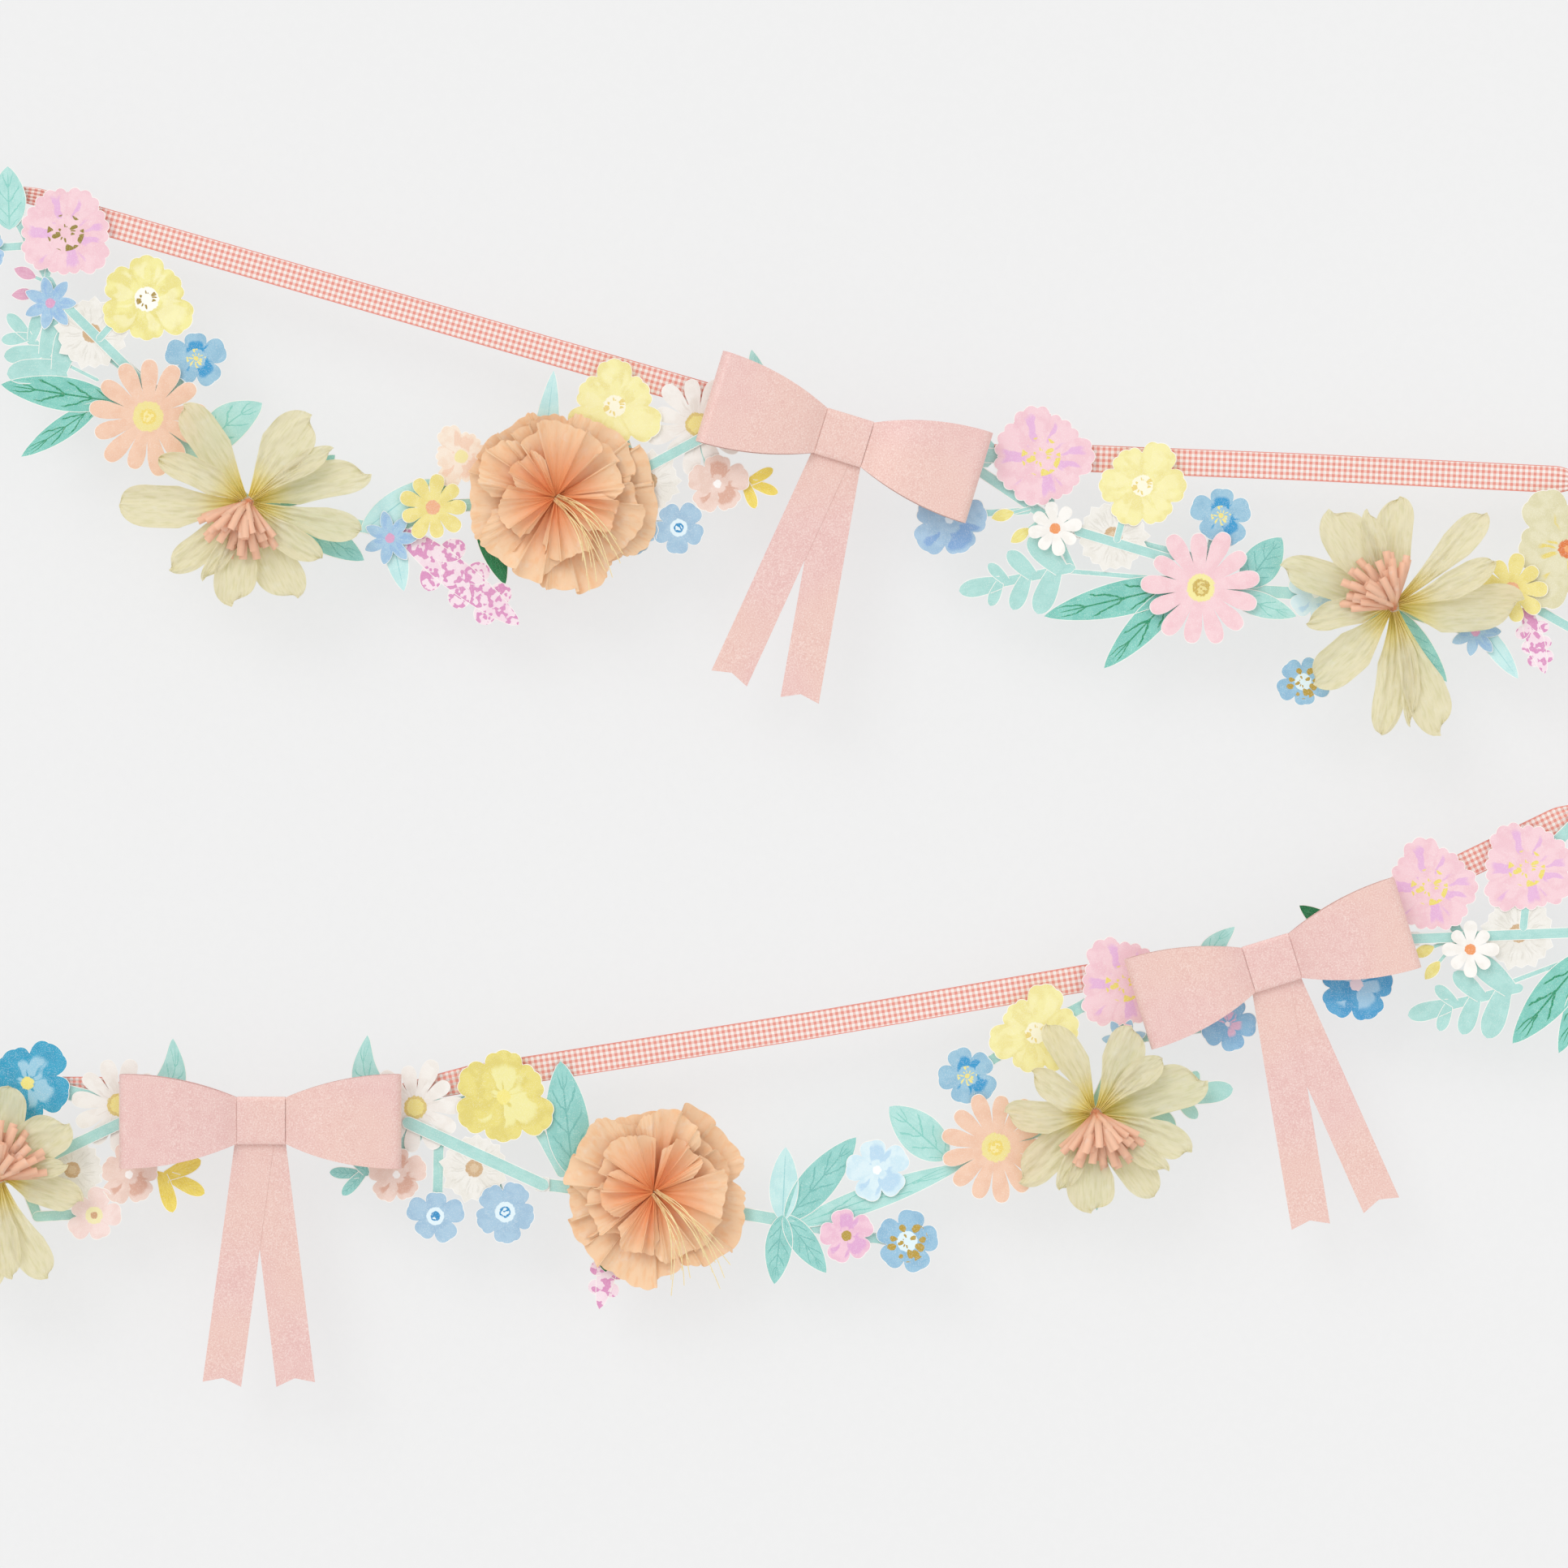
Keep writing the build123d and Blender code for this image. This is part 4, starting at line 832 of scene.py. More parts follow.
    def make(self, name: str, smooth: float = 40.0) -> bpy.types.Object:
        """Makes the mesh object, stood up and in metres.

        Args:
            name: the piece's name.
            smooth: edges bent less than this many degrees are shaded smooth.

        Returns:
            The object.
        """
        drawn = np.array(self.points)
        world = np.column_stack([drawn[:, 0], -drawn[:, 2], drawn[:, 1]]) * METRES
        mesh = bpy.data.meshes.new(name + SHOWN)
        mesh.from_pydata(world.tolist(), [], self.faces)
        corners = np.zeros(len(mesh.loops), dtype=np.int32)
        mesh.loops.foreach_get("vertex_index", corners)
        for layer, values in (("print", self.flats), ("petal", self.petals)):
            data = np.array(values, dtype=np.float32)[corners]
            mesh.uv_layers.new(name=layer).data.foreach_set("uv", data.ravel())
        for finish in self.finishes:
            mesh.materials.append(material(finish))
        mesh.polygons.foreach_set("material_index", self.slots)
        mesh.polygons.foreach_set("use_smooth", [True] * len(self.faces))
        shape = bmesh.new()
        shape.from_mesh(mesh)
        bmesh.ops.recalc_face_normals(shape, faces=shape.faces)
        shape.to_mesh(mesh)
        shape.free()
        mesh.set_sharp_from_angle(angle=math.radians(smooth))
        return put_in(name + SHOWN, mesh)

    def declare(self, node: str, body: str, slot: str, smooth: float = 40.0) -> bpy.types.Object:
        """Makes the piece that stands in for a CAD node."""
        return declare(self.make(node, smooth), body, node)


made_materials: dict[str, bpy.types.Material] = {}


def material(finish: str) -> bpy.types.Material:
    """Material of a finish, made once."""
    if finish not in made_materials:
        tree = Tree(finish)
        made_materials[finish] = tree.finish(FINISHES[finish].surface(tree))
    return made_materials[finish]


def shell(middle: Grid, thickness: float) -> tuple[Grid, Grid]:
    """Both sides of a thin bent sheet.

    Args:
        middle: points of its middle surface, rows by columns by 3.
        thickness: the sheet's thickness.

    Returns:
        Front and back points.
    """
    normal = np.cross(np.gradient(middle, axis=0), np.gradient(middle, axis=1))
    normal /= np.linalg.norm(normal, axis=2)[:, :, None] + 1e-9
    return middle + normal * thickness / 2, middle - normal * thickness / 2


def declare(piece: bpy.types.Object, body: str, node: str) -> bpy.types.Object:
    """Puts a piece on its body in place of its CAD node.

    Args:
        piece: the finished object.
        body: the body it rides on.
        node: the CAD node it replaces.

    Returns:
        The same object.
    """
    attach(piece, body)
    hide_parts(node)
    log.info("%s: %d faces", piece.name, len(piece.data.polygons))
    return piece


class Tip(Enum):
    """Shape of a petal's end: how far out it goes, from its middle (0) to its side (1)."""

    FINGER = (2.5, 0.5)
    SCALLOP = (2.4, 0.6)
    BROAD = (3.5, 0.75)
    POINT = (1.3, 1.0)
    SPIKE = (0.9, 1.0)

    def reach(self, side: Grid) -> Grid:
        """Share of the way from the notch to the tip."""
        power, round_share = self.value
        return (1 - side ** power) ** round_share


@dataclass(frozen=True)
class Bloom:
    """One kind of die-cut flower, seen from the front."""

    petals: int
    radius: float
    notch_share: float
    tip: Tip
    odd_share: float = 1.0
    samples: int = 18
    bumps: int = 1
    bump_depth: float = 0.0
    wander: float = 0.025
    rings: tuple = (0.06, 0.2, 0.35, 0.5, 0.64, 0.78, 0.9)     # shares of the way to the rim

    def add_to(self, sheets: Sheets, head: "Head", level: float, lift: float) -> None:
        """Adds one flower head to a mesh.

        Args:
            sheets: the mesh being collected.
            head: where the flower is and how it is printed.
            level: level of its back.
            lift: how far its petal tips curl towards the viewer.
        """
        centre = at(head.x, head.y)
        radius = self.radius * head.size
        steps = np.arange(self.petals * self.samples)
        index = steps // self.samples
        across = (steps % self.samples) / self.samples * 2 - 1
        side = np.abs(across)
        angle = math.radians(head.turn) + (index + across / 2) * math.tau / self.petals
        reach = radius * np.where(index % 2, self.odd_share, 1.0)
        reach = reach * (1 + self.wander * (np.sin(index * 2.7 + head.x) - 0.5))
        notch = radius * self.notch_share
        outline = notch + (reach - notch) * self.tip.reach(side)
        bump = np.abs(np.sin(math.pi * self.bumps * (across + 1) / 2)) ** 0.8
        outline = outline - self.bump_depth * (1 - bump) * (side < 0.96)
        out = np.array([outline * share for share in self.rings] + [outline - CUT_EDGE, outline])
        ways = out[:, :, None] * np.stack([np.cos(angle), np.sin(angle)], axis=-1)[None]
        sway = 0.75 + 0.25 * np.sin(index * 2.4 + head.y)
        height = lift * ((out / radius) ** 2) * sway * (1 - 0.45 * side ** 2)
        petal = pairs(out, side, out / outline)
        sheets.plate(centre + ways, height, level, ways / radius, petal, head.finish, True, centre)


BLOOMS = {
    "daisy": Bloom(13, 33.5, 0.42, Tip.FINGER, 0.94),
    "marguerite": Bloom(11, 33.5, 0.36, Tip.FINGER, 0.92, wander=0.06),
    "small_daisy": Bloom(8, 15.5, 0.36, Tip.FINGER, 0.9),
    "yellow_daisy": Bloom(9, 19.5, 0.42, Tip.FINGER, 0.93),
    "peony": Bloom(7, 27.6, 0.84, Tip.SCALLOP, 0.94, 40, 3, 1.9, 0.07),
    "lobed": Bloom(6, 27.0, 0.7, Tip.SCALLOP, 0.9, 40, 3, 1.3, 0.09),
    "frilly": Bloom(17, 20.0, 0.84, Tip.SPIKE, 0.92, 12),
    "star": Bloom(7, 15.5, 0.5, Tip.POINT),
    "five": Bloom(5, 17.4, 0.6, Tip.BROAD, 0.92, 30, 2, 0.6, 0.06),
    "pansy": Bloom(5, 22.8, 0.66, Tip.BROAD, 0.92, 40, 3, 0.9, 0.07),
}


@dataclass(frozen=True)
class Head:
    """A flower head: kind, place on the picture, turn, size and print."""

    kind: str
    x: float
    y: float
    turn: float
    size: float
    finish: str

    def add_to(self, sheets: Sheets, level: float, lift: float) -> None:
        """Adds the flower to a mesh."""
        BLOOMS[self.kind].add_to(sheets, self, level, lift)


# Half width of a leaf's and a stem's very end, and the rise of a leaf's sides from its midrib
BLADE_POINT = 0.05
STRIP_POINT = 0.03
BLADE_FOLD = 0.05


def blade(sheets: Sheets, base: Grid, tip: Grid, width: float, level: float, finish: str,
          fullness: float = 0.85, curl: float = 0.8, bend: float = 0.0, blunt: float = 0.68,
          club: bool = False) -> None:
    """Adds one leaf: a pointed card with a folded midrib.

    Args:
        sheets: the mesh being collected.
        base: where the leaf starts.
        tip: where it ends.
        width: its width in the middle.
        level: level of its back.
        finish: its print.
        fullness: under 1 the leaf is widest before its middle.
        curl: how far its tip rises.
        bend: sideways bow of its midrib, as a share of its length.
        blunt: the lower it is, the rounder the leaf's ends are.
        club: whether it is a leaflet with a narrow foot and a round end instead.
    """
    rows = np.linspace(0, 1, 25)
    length, _, side = course(base, tip)
    half = width / 2 * np.abs(np.sin(math.pi * rows ** fullness)) ** blunt + BLADE_POINT
    if club:
        foot = 0.68 + 0.32 * np.sin(math.pi / 2 * np.clip(rows / 0.6, 0, 1))
        half = width / 2 * foot * np.sqrt(1 - np.clip((rows - 0.6) / 0.4, 0, 1) ** 2) + BLADE_POINT
    inner = np.maximum(half - CUT_EDGE, half * 0.5)
    shares = np.array([-1, -0.66, -0.33, 0, 0.33, 0.66, 1])
    offsets = np.column_stack([-half, inner[:, None] * shares[None], half])
    rows = rows[:, None]
    middle = base + rows * (tip - base) + bend * length * np.sin(math.pi * rows) * side
    spots = middle[:, None, :] + offsets[:, :, None] * side
    height = curl * rows ** 2 + BLADE_FOLD * np.abs(offsets)
    petal = pairs(offsets, np.abs(offsets) / half[:, None], rows)
    sheets.plate(spots, height, level, pairs(offsets, rows * length, offsets) / 3, petal, finish)


def strip(sheets: Sheets, start: Grid, end: Grid, width: float, level: float, finish: str) -> None:
    """Adds one stem: a narrow card with rounded ends.

    Args:
        sheets: the mesh being collected.
        start: middle of one end.
        end: middle of the other end.
        width: the stem's width.
        level: level of its back.
        finish: its print.
    """
    length, heading, side = course(start, end)
    half = width / 2
    turn = np.linspace(0, math.pi / 2, 6)
    along = np.concatenate([-half * np.cos(turn), length + half * np.sin(turn)])
    spread = np.concatenate([half * np.sin(turn), half * np.cos(turn)]) + STRIP_POINT
    inner = np.maximum(spread - CUT_EDGE, spread * 0.5)
    offsets = np.column_stack([-spread, -inner, inner * 0, inner, spread])
    along = along[:, None]
    spots = start + along[:, :, None] * heading + offsets[:, :, None] * side
    petal = pairs(offsets, np.abs(offsets) / half, along / length)
    sheets.plate(spots, offsets * 0, level, pairs(offsets, along, offsets) / 3, petal, finish)


# Shares of a stem's length where a fern's lobes, a sprig's lobes and a foxglove's bells leave it,
# and their turns
FERN_SHARES = (0.1, 0.36, 0.6)
FERN_TURN = 56
SPRIG_LOBES = ((0.35, -62), (0.45, -14), (0.4, 36))
BELL_SHARES = (0.3, 0.52, 0.72)


class Growth(Enum):
    """Kinds of green shapes on a spray."""

    STEM = "stem"
    LEAF = "leaf"
    BUD = "bud"
    FERN = "fern"
    SPRIG = "sprig"
    FOXGLOVE = "foxglove"


@dataclass(frozen=True)
class Shoot:
    """A stem, leaf, bud, fern, sprig or foxglove from its base to its tip."""

    kind: Growth
    x: float
    y: float
    tip_x: float
    tip_y: float
    width: float
    finish: str
    bend: float = 0.0

    def add_to(self, sheets: Sheets, level: float, lift: float) -> None:
        """Adds the shoot to a mesh.

        Args:
            sheets: the mesh being collected.
            level: level of its back.
            lift: how far its tip rises.
        """
        base = at(self.x, self.y)
        tip = at(self.tip_x, self.tip_y)
        run = tip - base
        length, heading, side = course(base, tip)
        if self.kind is Growth.STEM:
            strip(sheets, base, tip, STEM_WIDTH * self.width, level, self.finish)
        elif self.kind is Growth.LEAF:
            blade(sheets, base, tip, self.width * length, level, self.finish, curl=lift, bend=self.bend)
        elif self.kind is Growth.BUD:
            strip(sheets, base, base + run * 0.6, STEM_WIDTH * 0.4, level, "mint_stem")
            blade(sheets, tip - heading * BUD_LENGTH, tip, BUD_LENGTH * 0.55, level + ROW_STEP,
                  self.finish, 1.0, lift)
        elif self.kind is Growth.FERN:
            strip(sheets, base, base + run * 0.75, STEM_WIDTH * 0.95, level, self.finish)
            for i, share in enumerate(FERN_SHARES):
                lobe = length * 0.6 * self.width * (1.2 - share)
                for way in (-1, 1):
                    start = base + run * (share + 0.03 * way)
                    rise = level + ROW_STEP * (0.3 * i + 0.1 * way)
                    self.lobe(sheets, start, lobe, run, way * FERN_TURN, lobe * 0.5, rise, lift)
            blade(sheets, base + run * 0.62, tip, length * 0.17, level + ROW_STEP * 2, self.finish,
                  curl=lift, club=True)
        elif self.kind is Growth.SPRIG:
            strip(sheets, base, base + run * 0.62, STEM_WIDTH * 0.7, level, self.finish)
            for i, (share, turn) in enumerate(SPRIG_LOBES):
                self.lobe(sheets, base + run * share, length * 0.72 * self.width, run, turn,
                          length * 0.3 * self.width, level + ROW_STEP * 0.3 * i, lift)
        else:
            spread = length * self.width
            blade(sheets, base, tip, spread * 0.85, level, self.finish, 0.9, lift, blunt=0.5)
            for i, share in enumerate(BELL_SHARES):
                for way in (-1, 1):
                    end = base + run * (share + 0.1) + side * way * spread * (0.95 - 0.5 * share)
                    rise = level + ROW_STEP * (1 + 0.3 * i + 0.1 * way)
                    blade(sheets, base + run * share, end, spread * 0.62, rise, self.finish, 1.3, lift,
                          blunt=0.5)

    def lobe(self, sheets: Sheets, start: Grid, reach: float, run: Grid, turn: float, width: float,
             level: float, lift: float) -> None:
        """Adds one round-ended leaflet, turned from the shoot's run by some degrees."""
        heading = math.atan2(run[1], run[0]) + math.radians(turn)
        end = start + reach * np.array([math.cos(heading), math.sin(heading)])
        blade(sheets, start, end, width, level + ROW_STEP, self.finish, curl=lift, club=True)


STEM, LEAF, BUD = Growth.STEM, Growth.LEAF, Growth.BUD
FERN, SPRIG, FOXGLOVE = Growth.FERN, Growth.SPRIG, Growth.FOXGLOVE


def stems(*rows: tuple) -> list[Shoot]:
    """Plain mint stems from rows of two places and a width share."""
    return [Shoot(STEM, *row, "mint_stem") for row in rows]


BACK_ROWS = {
    "upper_left_a": stems(
        (-24, 236, 10, 262, 1.0), (6, 244, 59, 346, 0.8), (60, 300, 57, 340, 0.6), (59, 346, 84, 396, 1.0),
        (72, 384, 190, 482, 1.2), (118, 420, 150, 384, 0.9), (48, 432, 118, 467, 0.4),
        (182, 513, 306, 620, 1.2), (150, 384, 180, 365, 0.9), (182, 513, 241, 441, 1.0),
        (-40, 306, 60, 300, 0.8), (110, 480, 182, 513, 1.0), (60, 300, 80, 286, 0.8),
        (190, 482, 182, 513, 1.0),
    ) + [
        Shoot(BUD, 60, 348, 16, 330, 0, "pink_bud"), Shoot(BUD, 64, 358, 13, 363, 0, "pink_bud"),
        Shoot(FERN, 76, 462, 8, 386, 0.9, "mint_stem"), Shoot(LEAF, 10, 282, 8, 204, 0.56, "mint_leaf"),
        Shoot(LEAF, 140, 494, 0, 473, 0.3, "teal_leaf"), Shoot(LEAF, 122, 496, 25, 562, 0.24, "teal_leaf"),
        Shoot(LEAF, 250, 556, 322, 496, 0.52, "mint_leaf", 0.08),
    ],
    "upper_left_b": stems(
        (783, 583, 865, 539, 0.9), (306, 620, 480, 655, 1.2), (480, 655, 533, 625, 1.2),
        (533, 625, 685, 613, 1.2), (533, 625, 568, 560, 1.0), (685, 613, 783, 583, 1.2),
        (783, 583, 755, 505, 1.0), (783, 583, 783, 648, 1.0), (783, 648, 832, 647, 1.0),
        (865, 539, 880, 592, 1.0), (859, 522, 936, 512, 1.4), (865, 539, 859, 522, 1.2),
    ) + [
        Shoot(LEAF, 345, 622, 412, 560, 0.4, "sea_leaf"), Shoot(LEAF, 350, 630, 448, 690, 0.36, "sea_leaf"),
        Shoot(LEAF, 445, 655, 530, 590, 0.34, "ice_leaf"), Shoot(LEAF, 480, 650, 497, 728, 0.36, "ice_leaf"),
        Shoot(FOXGLOVE, 490, 652, 640, 770, 0.24, "foxglove"),
        Shoot(LEAF, 590, 625, 622, 720, 0.32, "green_leaf"),
        Shoot(LEAF, 662, 616, 682, 456, 0.2, "ice_leaf"),
        Shoot(SPRIG, 890, 590, 970, 600, 0.6, "yellow_leaf"),
        Shoot(LEAF, 906, 512, 926, 430, 0.38, "mint_leaf", -0.2),
    ],
    "upper_right": stems(
        (1203, 560, 1283, 562, 1.4), (1205, 578, 1291, 637, 1.0), (1334, 654, 1480, 690, 1.1),
        (1377, 654, 1390, 625, 0.9), (1170, 634, 1266, 629, 0.7), (1300, 651, 1322, 700, 0.7),
        (1314, 703, 1470, 716, 0.5), (1863, 732, 1945, 778, 0.9), (1283, 562, 1300, 651, 1.0),
        (1291, 637, 1340, 656, 1.0), (1390, 625, 1408, 597, 0.9), (1480, 724, 1505, 635, 1.0),
        (1480, 724, 1622, 732, 1.2), (1480, 680, 1480, 724, 1.2), (1622, 732, 1716, 747, 1.2),
        (1716, 747, 1819, 778, 1.2), (1819, 778, 1863, 726, 1.2), (1863, 726, 1925, 680, 1.2),
        (1925, 680, 1958, 602, 1.4), (1716, 747, 1612, 838, 1.0),
    ) + [
        Shoot(BUD, 1268, 626, 1222, 638, 0, "yellow_bud"), Shoot(BUD, 1288, 636, 1246, 668, 0, "yellow_bud"),
        Shoot(FERN, 1318, 700, 1182, 728, 0.62, "mint_stem"),
        Shoot(LEAF, 1466, 718, 1287, 759, 0.24, "teal_leaf"),
        Shoot(LEAF, 1462, 716, 1361, 823, 0.26, "teal_leaf"),
        Shoot(LEAF, 1534, 722, 1580, 662, 0.62, "sea_leaf"),
        Shoot(LEAF, 1515, 732, 1598, 759, 0.36, "mint_leaf"),
        Shoot(LEAF, 1714, 748, 1784, 840, 0.26, "sea_leaf"),
        Shoot(LEAF, 1824, 770, 1872, 836, 0.3, "ice_leaf"),
        Shoot(FOXGLOVE, 1880, 745, 1905, 830, 0.3, "foxglove"),
    ],
    "lower_left": stems(
        (34, 1438, 150, 1383, 1.0), (145, 1362, 222, 1372, 1.4), (145, 1362, 35, 1335, 1.4),
        (35, 1338, -42, 1342, 1.4), (34, 1438, 0, 1438, 1.2), (20, 1438, 45, 1500, 1.0),
        (45, 1500, 115, 1496, 1.0), (150, 1383, 158, 1445, 1.0), (88, 1412, 88, 1446, 0.9),
        (145, 1362, 150, 1390, 1.4),
    ) + [
        Shoot(LEAF, 168, 1362, 212, 1280, 0.4, "mint_leaf", -0.24),
        Shoot(SPRIG, 164, 1442, 262, 1462, 0.66, "yellow_leaf"),
        Shoot(LEAF, -6, 1450, -72, 1590, 0.22, "sea_leaf"),
    ],
    "lower_middle_a": stems(
        (503, 1384, 668, 1460, 1.1), (641, 1353, 691, 1445, 1.0), (436, 1366, 511, 1365, 1.4),
        (511, 1365, 511, 1400, 1.4), (505, 1375, 488, 1447, 1.0), (540, 1398, 538, 1497, 1.0),
        (600, 1425, 621, 1495, 1.0), (575, 1410, 577, 1449, 0.9), (511, 1365, 626, 1353, 1.2),
        (668, 1460, 804, 1477, 1.2), (772, 1480, 758, 1520, 1.0), (600, 1353, 650, 1353, 1.2),
    ) + [
        Shoot(LEAF, 490, 1362, 452, 1276, 0.38, "mint_leaf", 0.24),
        Shoot(SPRIG, 480, 1440, 396, 1456, 0.6, "sea_leaf"),
        Shoot(LEAF, 706, 1450, 690, 1308, 0.38, "sea_leaf"),
        Shoot(FOXGLOVE, 762, 1500, 738, 1614, 0.26, "foxglove"),
        Shoot(LEAF, 745, 1520, 746, 1568, 0.6, "green_leaf"),
    ],
    "lower_middle_b": stems(
        (804, 1477, 966, 1505, 1.2), (966, 1505, 1043, 1523, 1.0), (1043, 1523, 1112, 1530, 1.0),
        (1081, 1442, 1090, 1470, 1.0), (1170, 1440, 1227, 1414, 1.0), (1227, 1414, 1350, 1366, 1.2),
        (1227, 1414, 1192, 1326, 1.0), (1192, 1326, 1277, 1272, 1.0), (1277, 1272, 1385, 1212, 1.2),
        (1385, 1212, 1446, 1203, 1.4), (1350, 1366, 1385, 1283, 1.2), (1385, 1283, 1385, 1212, 1.0),
        (1385, 1283, 1513, 1262, 0.9), (1446, 1203, 1500, 1200, 1.0),
    ) + [
        Shoot(LEAF, 964, 1505, 968, 1414, 0.4, "ice_leaf"),
        Shoot(LEAF, 968, 1505, 1055, 1402, 0.33, "sea_leaf"),
        Shoot(LEAF, 964, 1498, 954, 1583, 0.4, "sea_leaf"),
        Shoot(LEAF, 966, 1498, 1018, 1569, 0.38, "sea_leaf"),
        Shoot(LEAF, 976, 1512, 1192, 1434, 0.14, "mint_leaf"),
        Shoot(LEAF, 1168, 1428, 1096, 1364, 0.54, "mint_leaf"),
        Shoot(FERN, 1362, 1368, 1520, 1342, 0.6, "mint_stem"),
        Shoot(LEAF, 1350, 1372, 1352, 1492, 0.24, "sea_leaf"),
        Shoot(LEAF, 1494, 1210, 1522, 1142, 0.42, "mint_leaf", 0.2),
    ],
    "lower_right": stems(
        (1741, 1157, 1945, 1149, 1.0), (1878, 1142, 1884, 1072, 0.9), (1854, 1214, 1950, 1178, 0.5),
        (1690, 1118, 1762, 1093, 1.4), (1762, 1093, 1812, 1170, 1.0), (1670, 1215, 1690, 1130, 1.0),
        (1690, 1128, 1650, 1150, 1.0), (1884, 1072, 1958, 1000, 1.2), (1945, 1149, 1962, 1186, 1.0),
        (1812, 1170, 1850, 1212, 0.7),
    ) + [
        Shoot(LEAF, 1665, 1160, 1602, 1116, 0.36, "green_leaf"),
        Shoot(BUD, 1790, 1158, 1742, 1178, 0, "yellow_bud"),
        Shoot(BUD, 1796, 1160, 1757, 1207, 0, "yellow_bud"),
        Shoot(FERN, 1872, 1218, 1736, 1252, 0.66, "mint_stem"),
        Shoot(LEAF, 1960, 1172, 1865, 1286, 0.32, "teal_leaf"),
        Shoot(LEAF, 1975, 1180, 1922, 1298, 0.28, "teal_leaf"),
    ],
}

FRONT_ROWS = {
    "upper_left_a": [
        Head("frilly", 112, 410, 0, 1.06, "white_frilly"), Head("peony", 80, 286, 10, 1.0, "olive_peony"),
        Head("pansy", -26, 307, 40, 0.7, "sky_pansy"), Shoot(STEM, 84, 380, 190, 486, 0.95, "mint_stem"),
        Shoot(STEM, 122, 416, 150, 384, 0.7, "mint_stem"), Head("star", 61, 373, 0, 1.0, "blue_star"),
        Head("lobed", 180, 368, 90, 1.04, "yellow_bloom"), Head("five", 241, 441, 20, 1.0, "blue_brush"),
    ],
    "upper_left_b": [
        Head("frilly", 800, 592, 0, 0.9, "white_frilly"), Head("lobed", 568, 562, 0, 0.68, "cream_blush"),
        Head("star", 480, 663, 0, 1.0, "blue_star"), Head("lobed", 757, 500, 90, 1.02, "yellow_soft"),
        Head("pansy", 884, 596, 90, 0.8, "peach_pansy"), Head("five", 836, 650, 50, 0.92, "blue_ring"),
        Head("pansy", 778, 652, 70, 0.7, "blue_ring"), Shoot(STEM, 783, 583, 865, 539, 1.0, "mint_stem"),
    ],
    "upper_right": [
        Head("frilly", 1372, 660, 0, 1.04, "white_frilly"),
        Shoot(STEM, 1330, 655, 1440, 688, 0.95, "mint_stem"),
        Shoot(STEM, 1377, 664, 1388, 622, 0.7, "mint_stem"), Head("pansy", 1170, 640, 80, 1.0, "sky_pansy"),
        Head("peony", 1283, 562, 0, 1.06, "pink_peony"), Head("lobed", 1408, 598, 60, 0.98, "yellow_soft"),
        Head("five", 1505, 635, 15, 1.02, "blue_brush"), Head("five", 1622, 732, 0, 0.98, "ice_blue"),
        Head("five", 1606, 840, 60, 0.9, "gilt_blue"), Head("star", 1819, 778, 0, 0.95, "blue_star"),
        Head("lobed", 1932, 676, 0, 1.3, "cream_bloom"),
    ],
    "lower_left": [
        Head("frilly", 88, 1442, 0, 0.92, "white_frilly"), Head("pansy", 33, 1335, 50, 1.12, "bright_blue"),
        Head("pansy", 158, 1448, 90, 0.8, "peach_pansy"), Head("five", 115, 1498, 75, 0.92, "shell_five"),
        Shoot(STEM, 34, 1438, 150, 1383, 1.1, "mint_stem"),
    ],
    "lower_middle_a": [
        Head("frilly", 584, 1440, 0, 1.0, "white_frilly"), Head("pansy", 488, 1448, 90, 0.76, "peach_pansy"),
        Head("lobed", 620, 1352, 90, 1.12, "yellow_star"), Head("five", 536, 1499, 15, 0.94, "blue_ring"),
        Head("pansy", 622, 1494, 60, 0.82, "blue_ring"), Shoot(STEM, 668, 1460, 503, 1384, 1.2, "mint_stem"),
    ],
    "lower_middle_b": [
        Head("five", 1081, 1442, 30, 1.1, "ice_blue"), Head("five", 1043, 1523, 30, 0.95, "lilac_five"),
        Head("five", 1118, 1530, 80, 1.1, "gilt_blue"), Head("five", 1192, 1326, 40, 1.02, "blue_brush"),
        Head("lobed", 1277, 1273, 75, 1.0, "yellow_soft"), Head("peony", 1385, 1212, 20, 1.0, "pink_peony"),
        Head("star", 1385, 1283, 20, 0.85, "blue_star"), Head("five", 1513, 1262, 70, 0.98, "rosy_blue"),
    ],
    "lower_right": [
        Head("frilly", 1872, 1150, 0, 1.08, "white_frilly"),
        Shoot(STEM, 1741, 1157, 1945, 1149, 1.0, "mint_stem"),
        Shoot(STEM, 1878, 1142, 1884, 1085, 0.8, "mint_stem"),
        Head("pansy", 1672, 1213, 80, 1.0, "bright_star"),
        Head("peony", 1762, 1093, 0, 1.0, "pink_peony"), Head("peony", 1882, 1070, 20, 1.0, "pink_peony"),
    ],
}

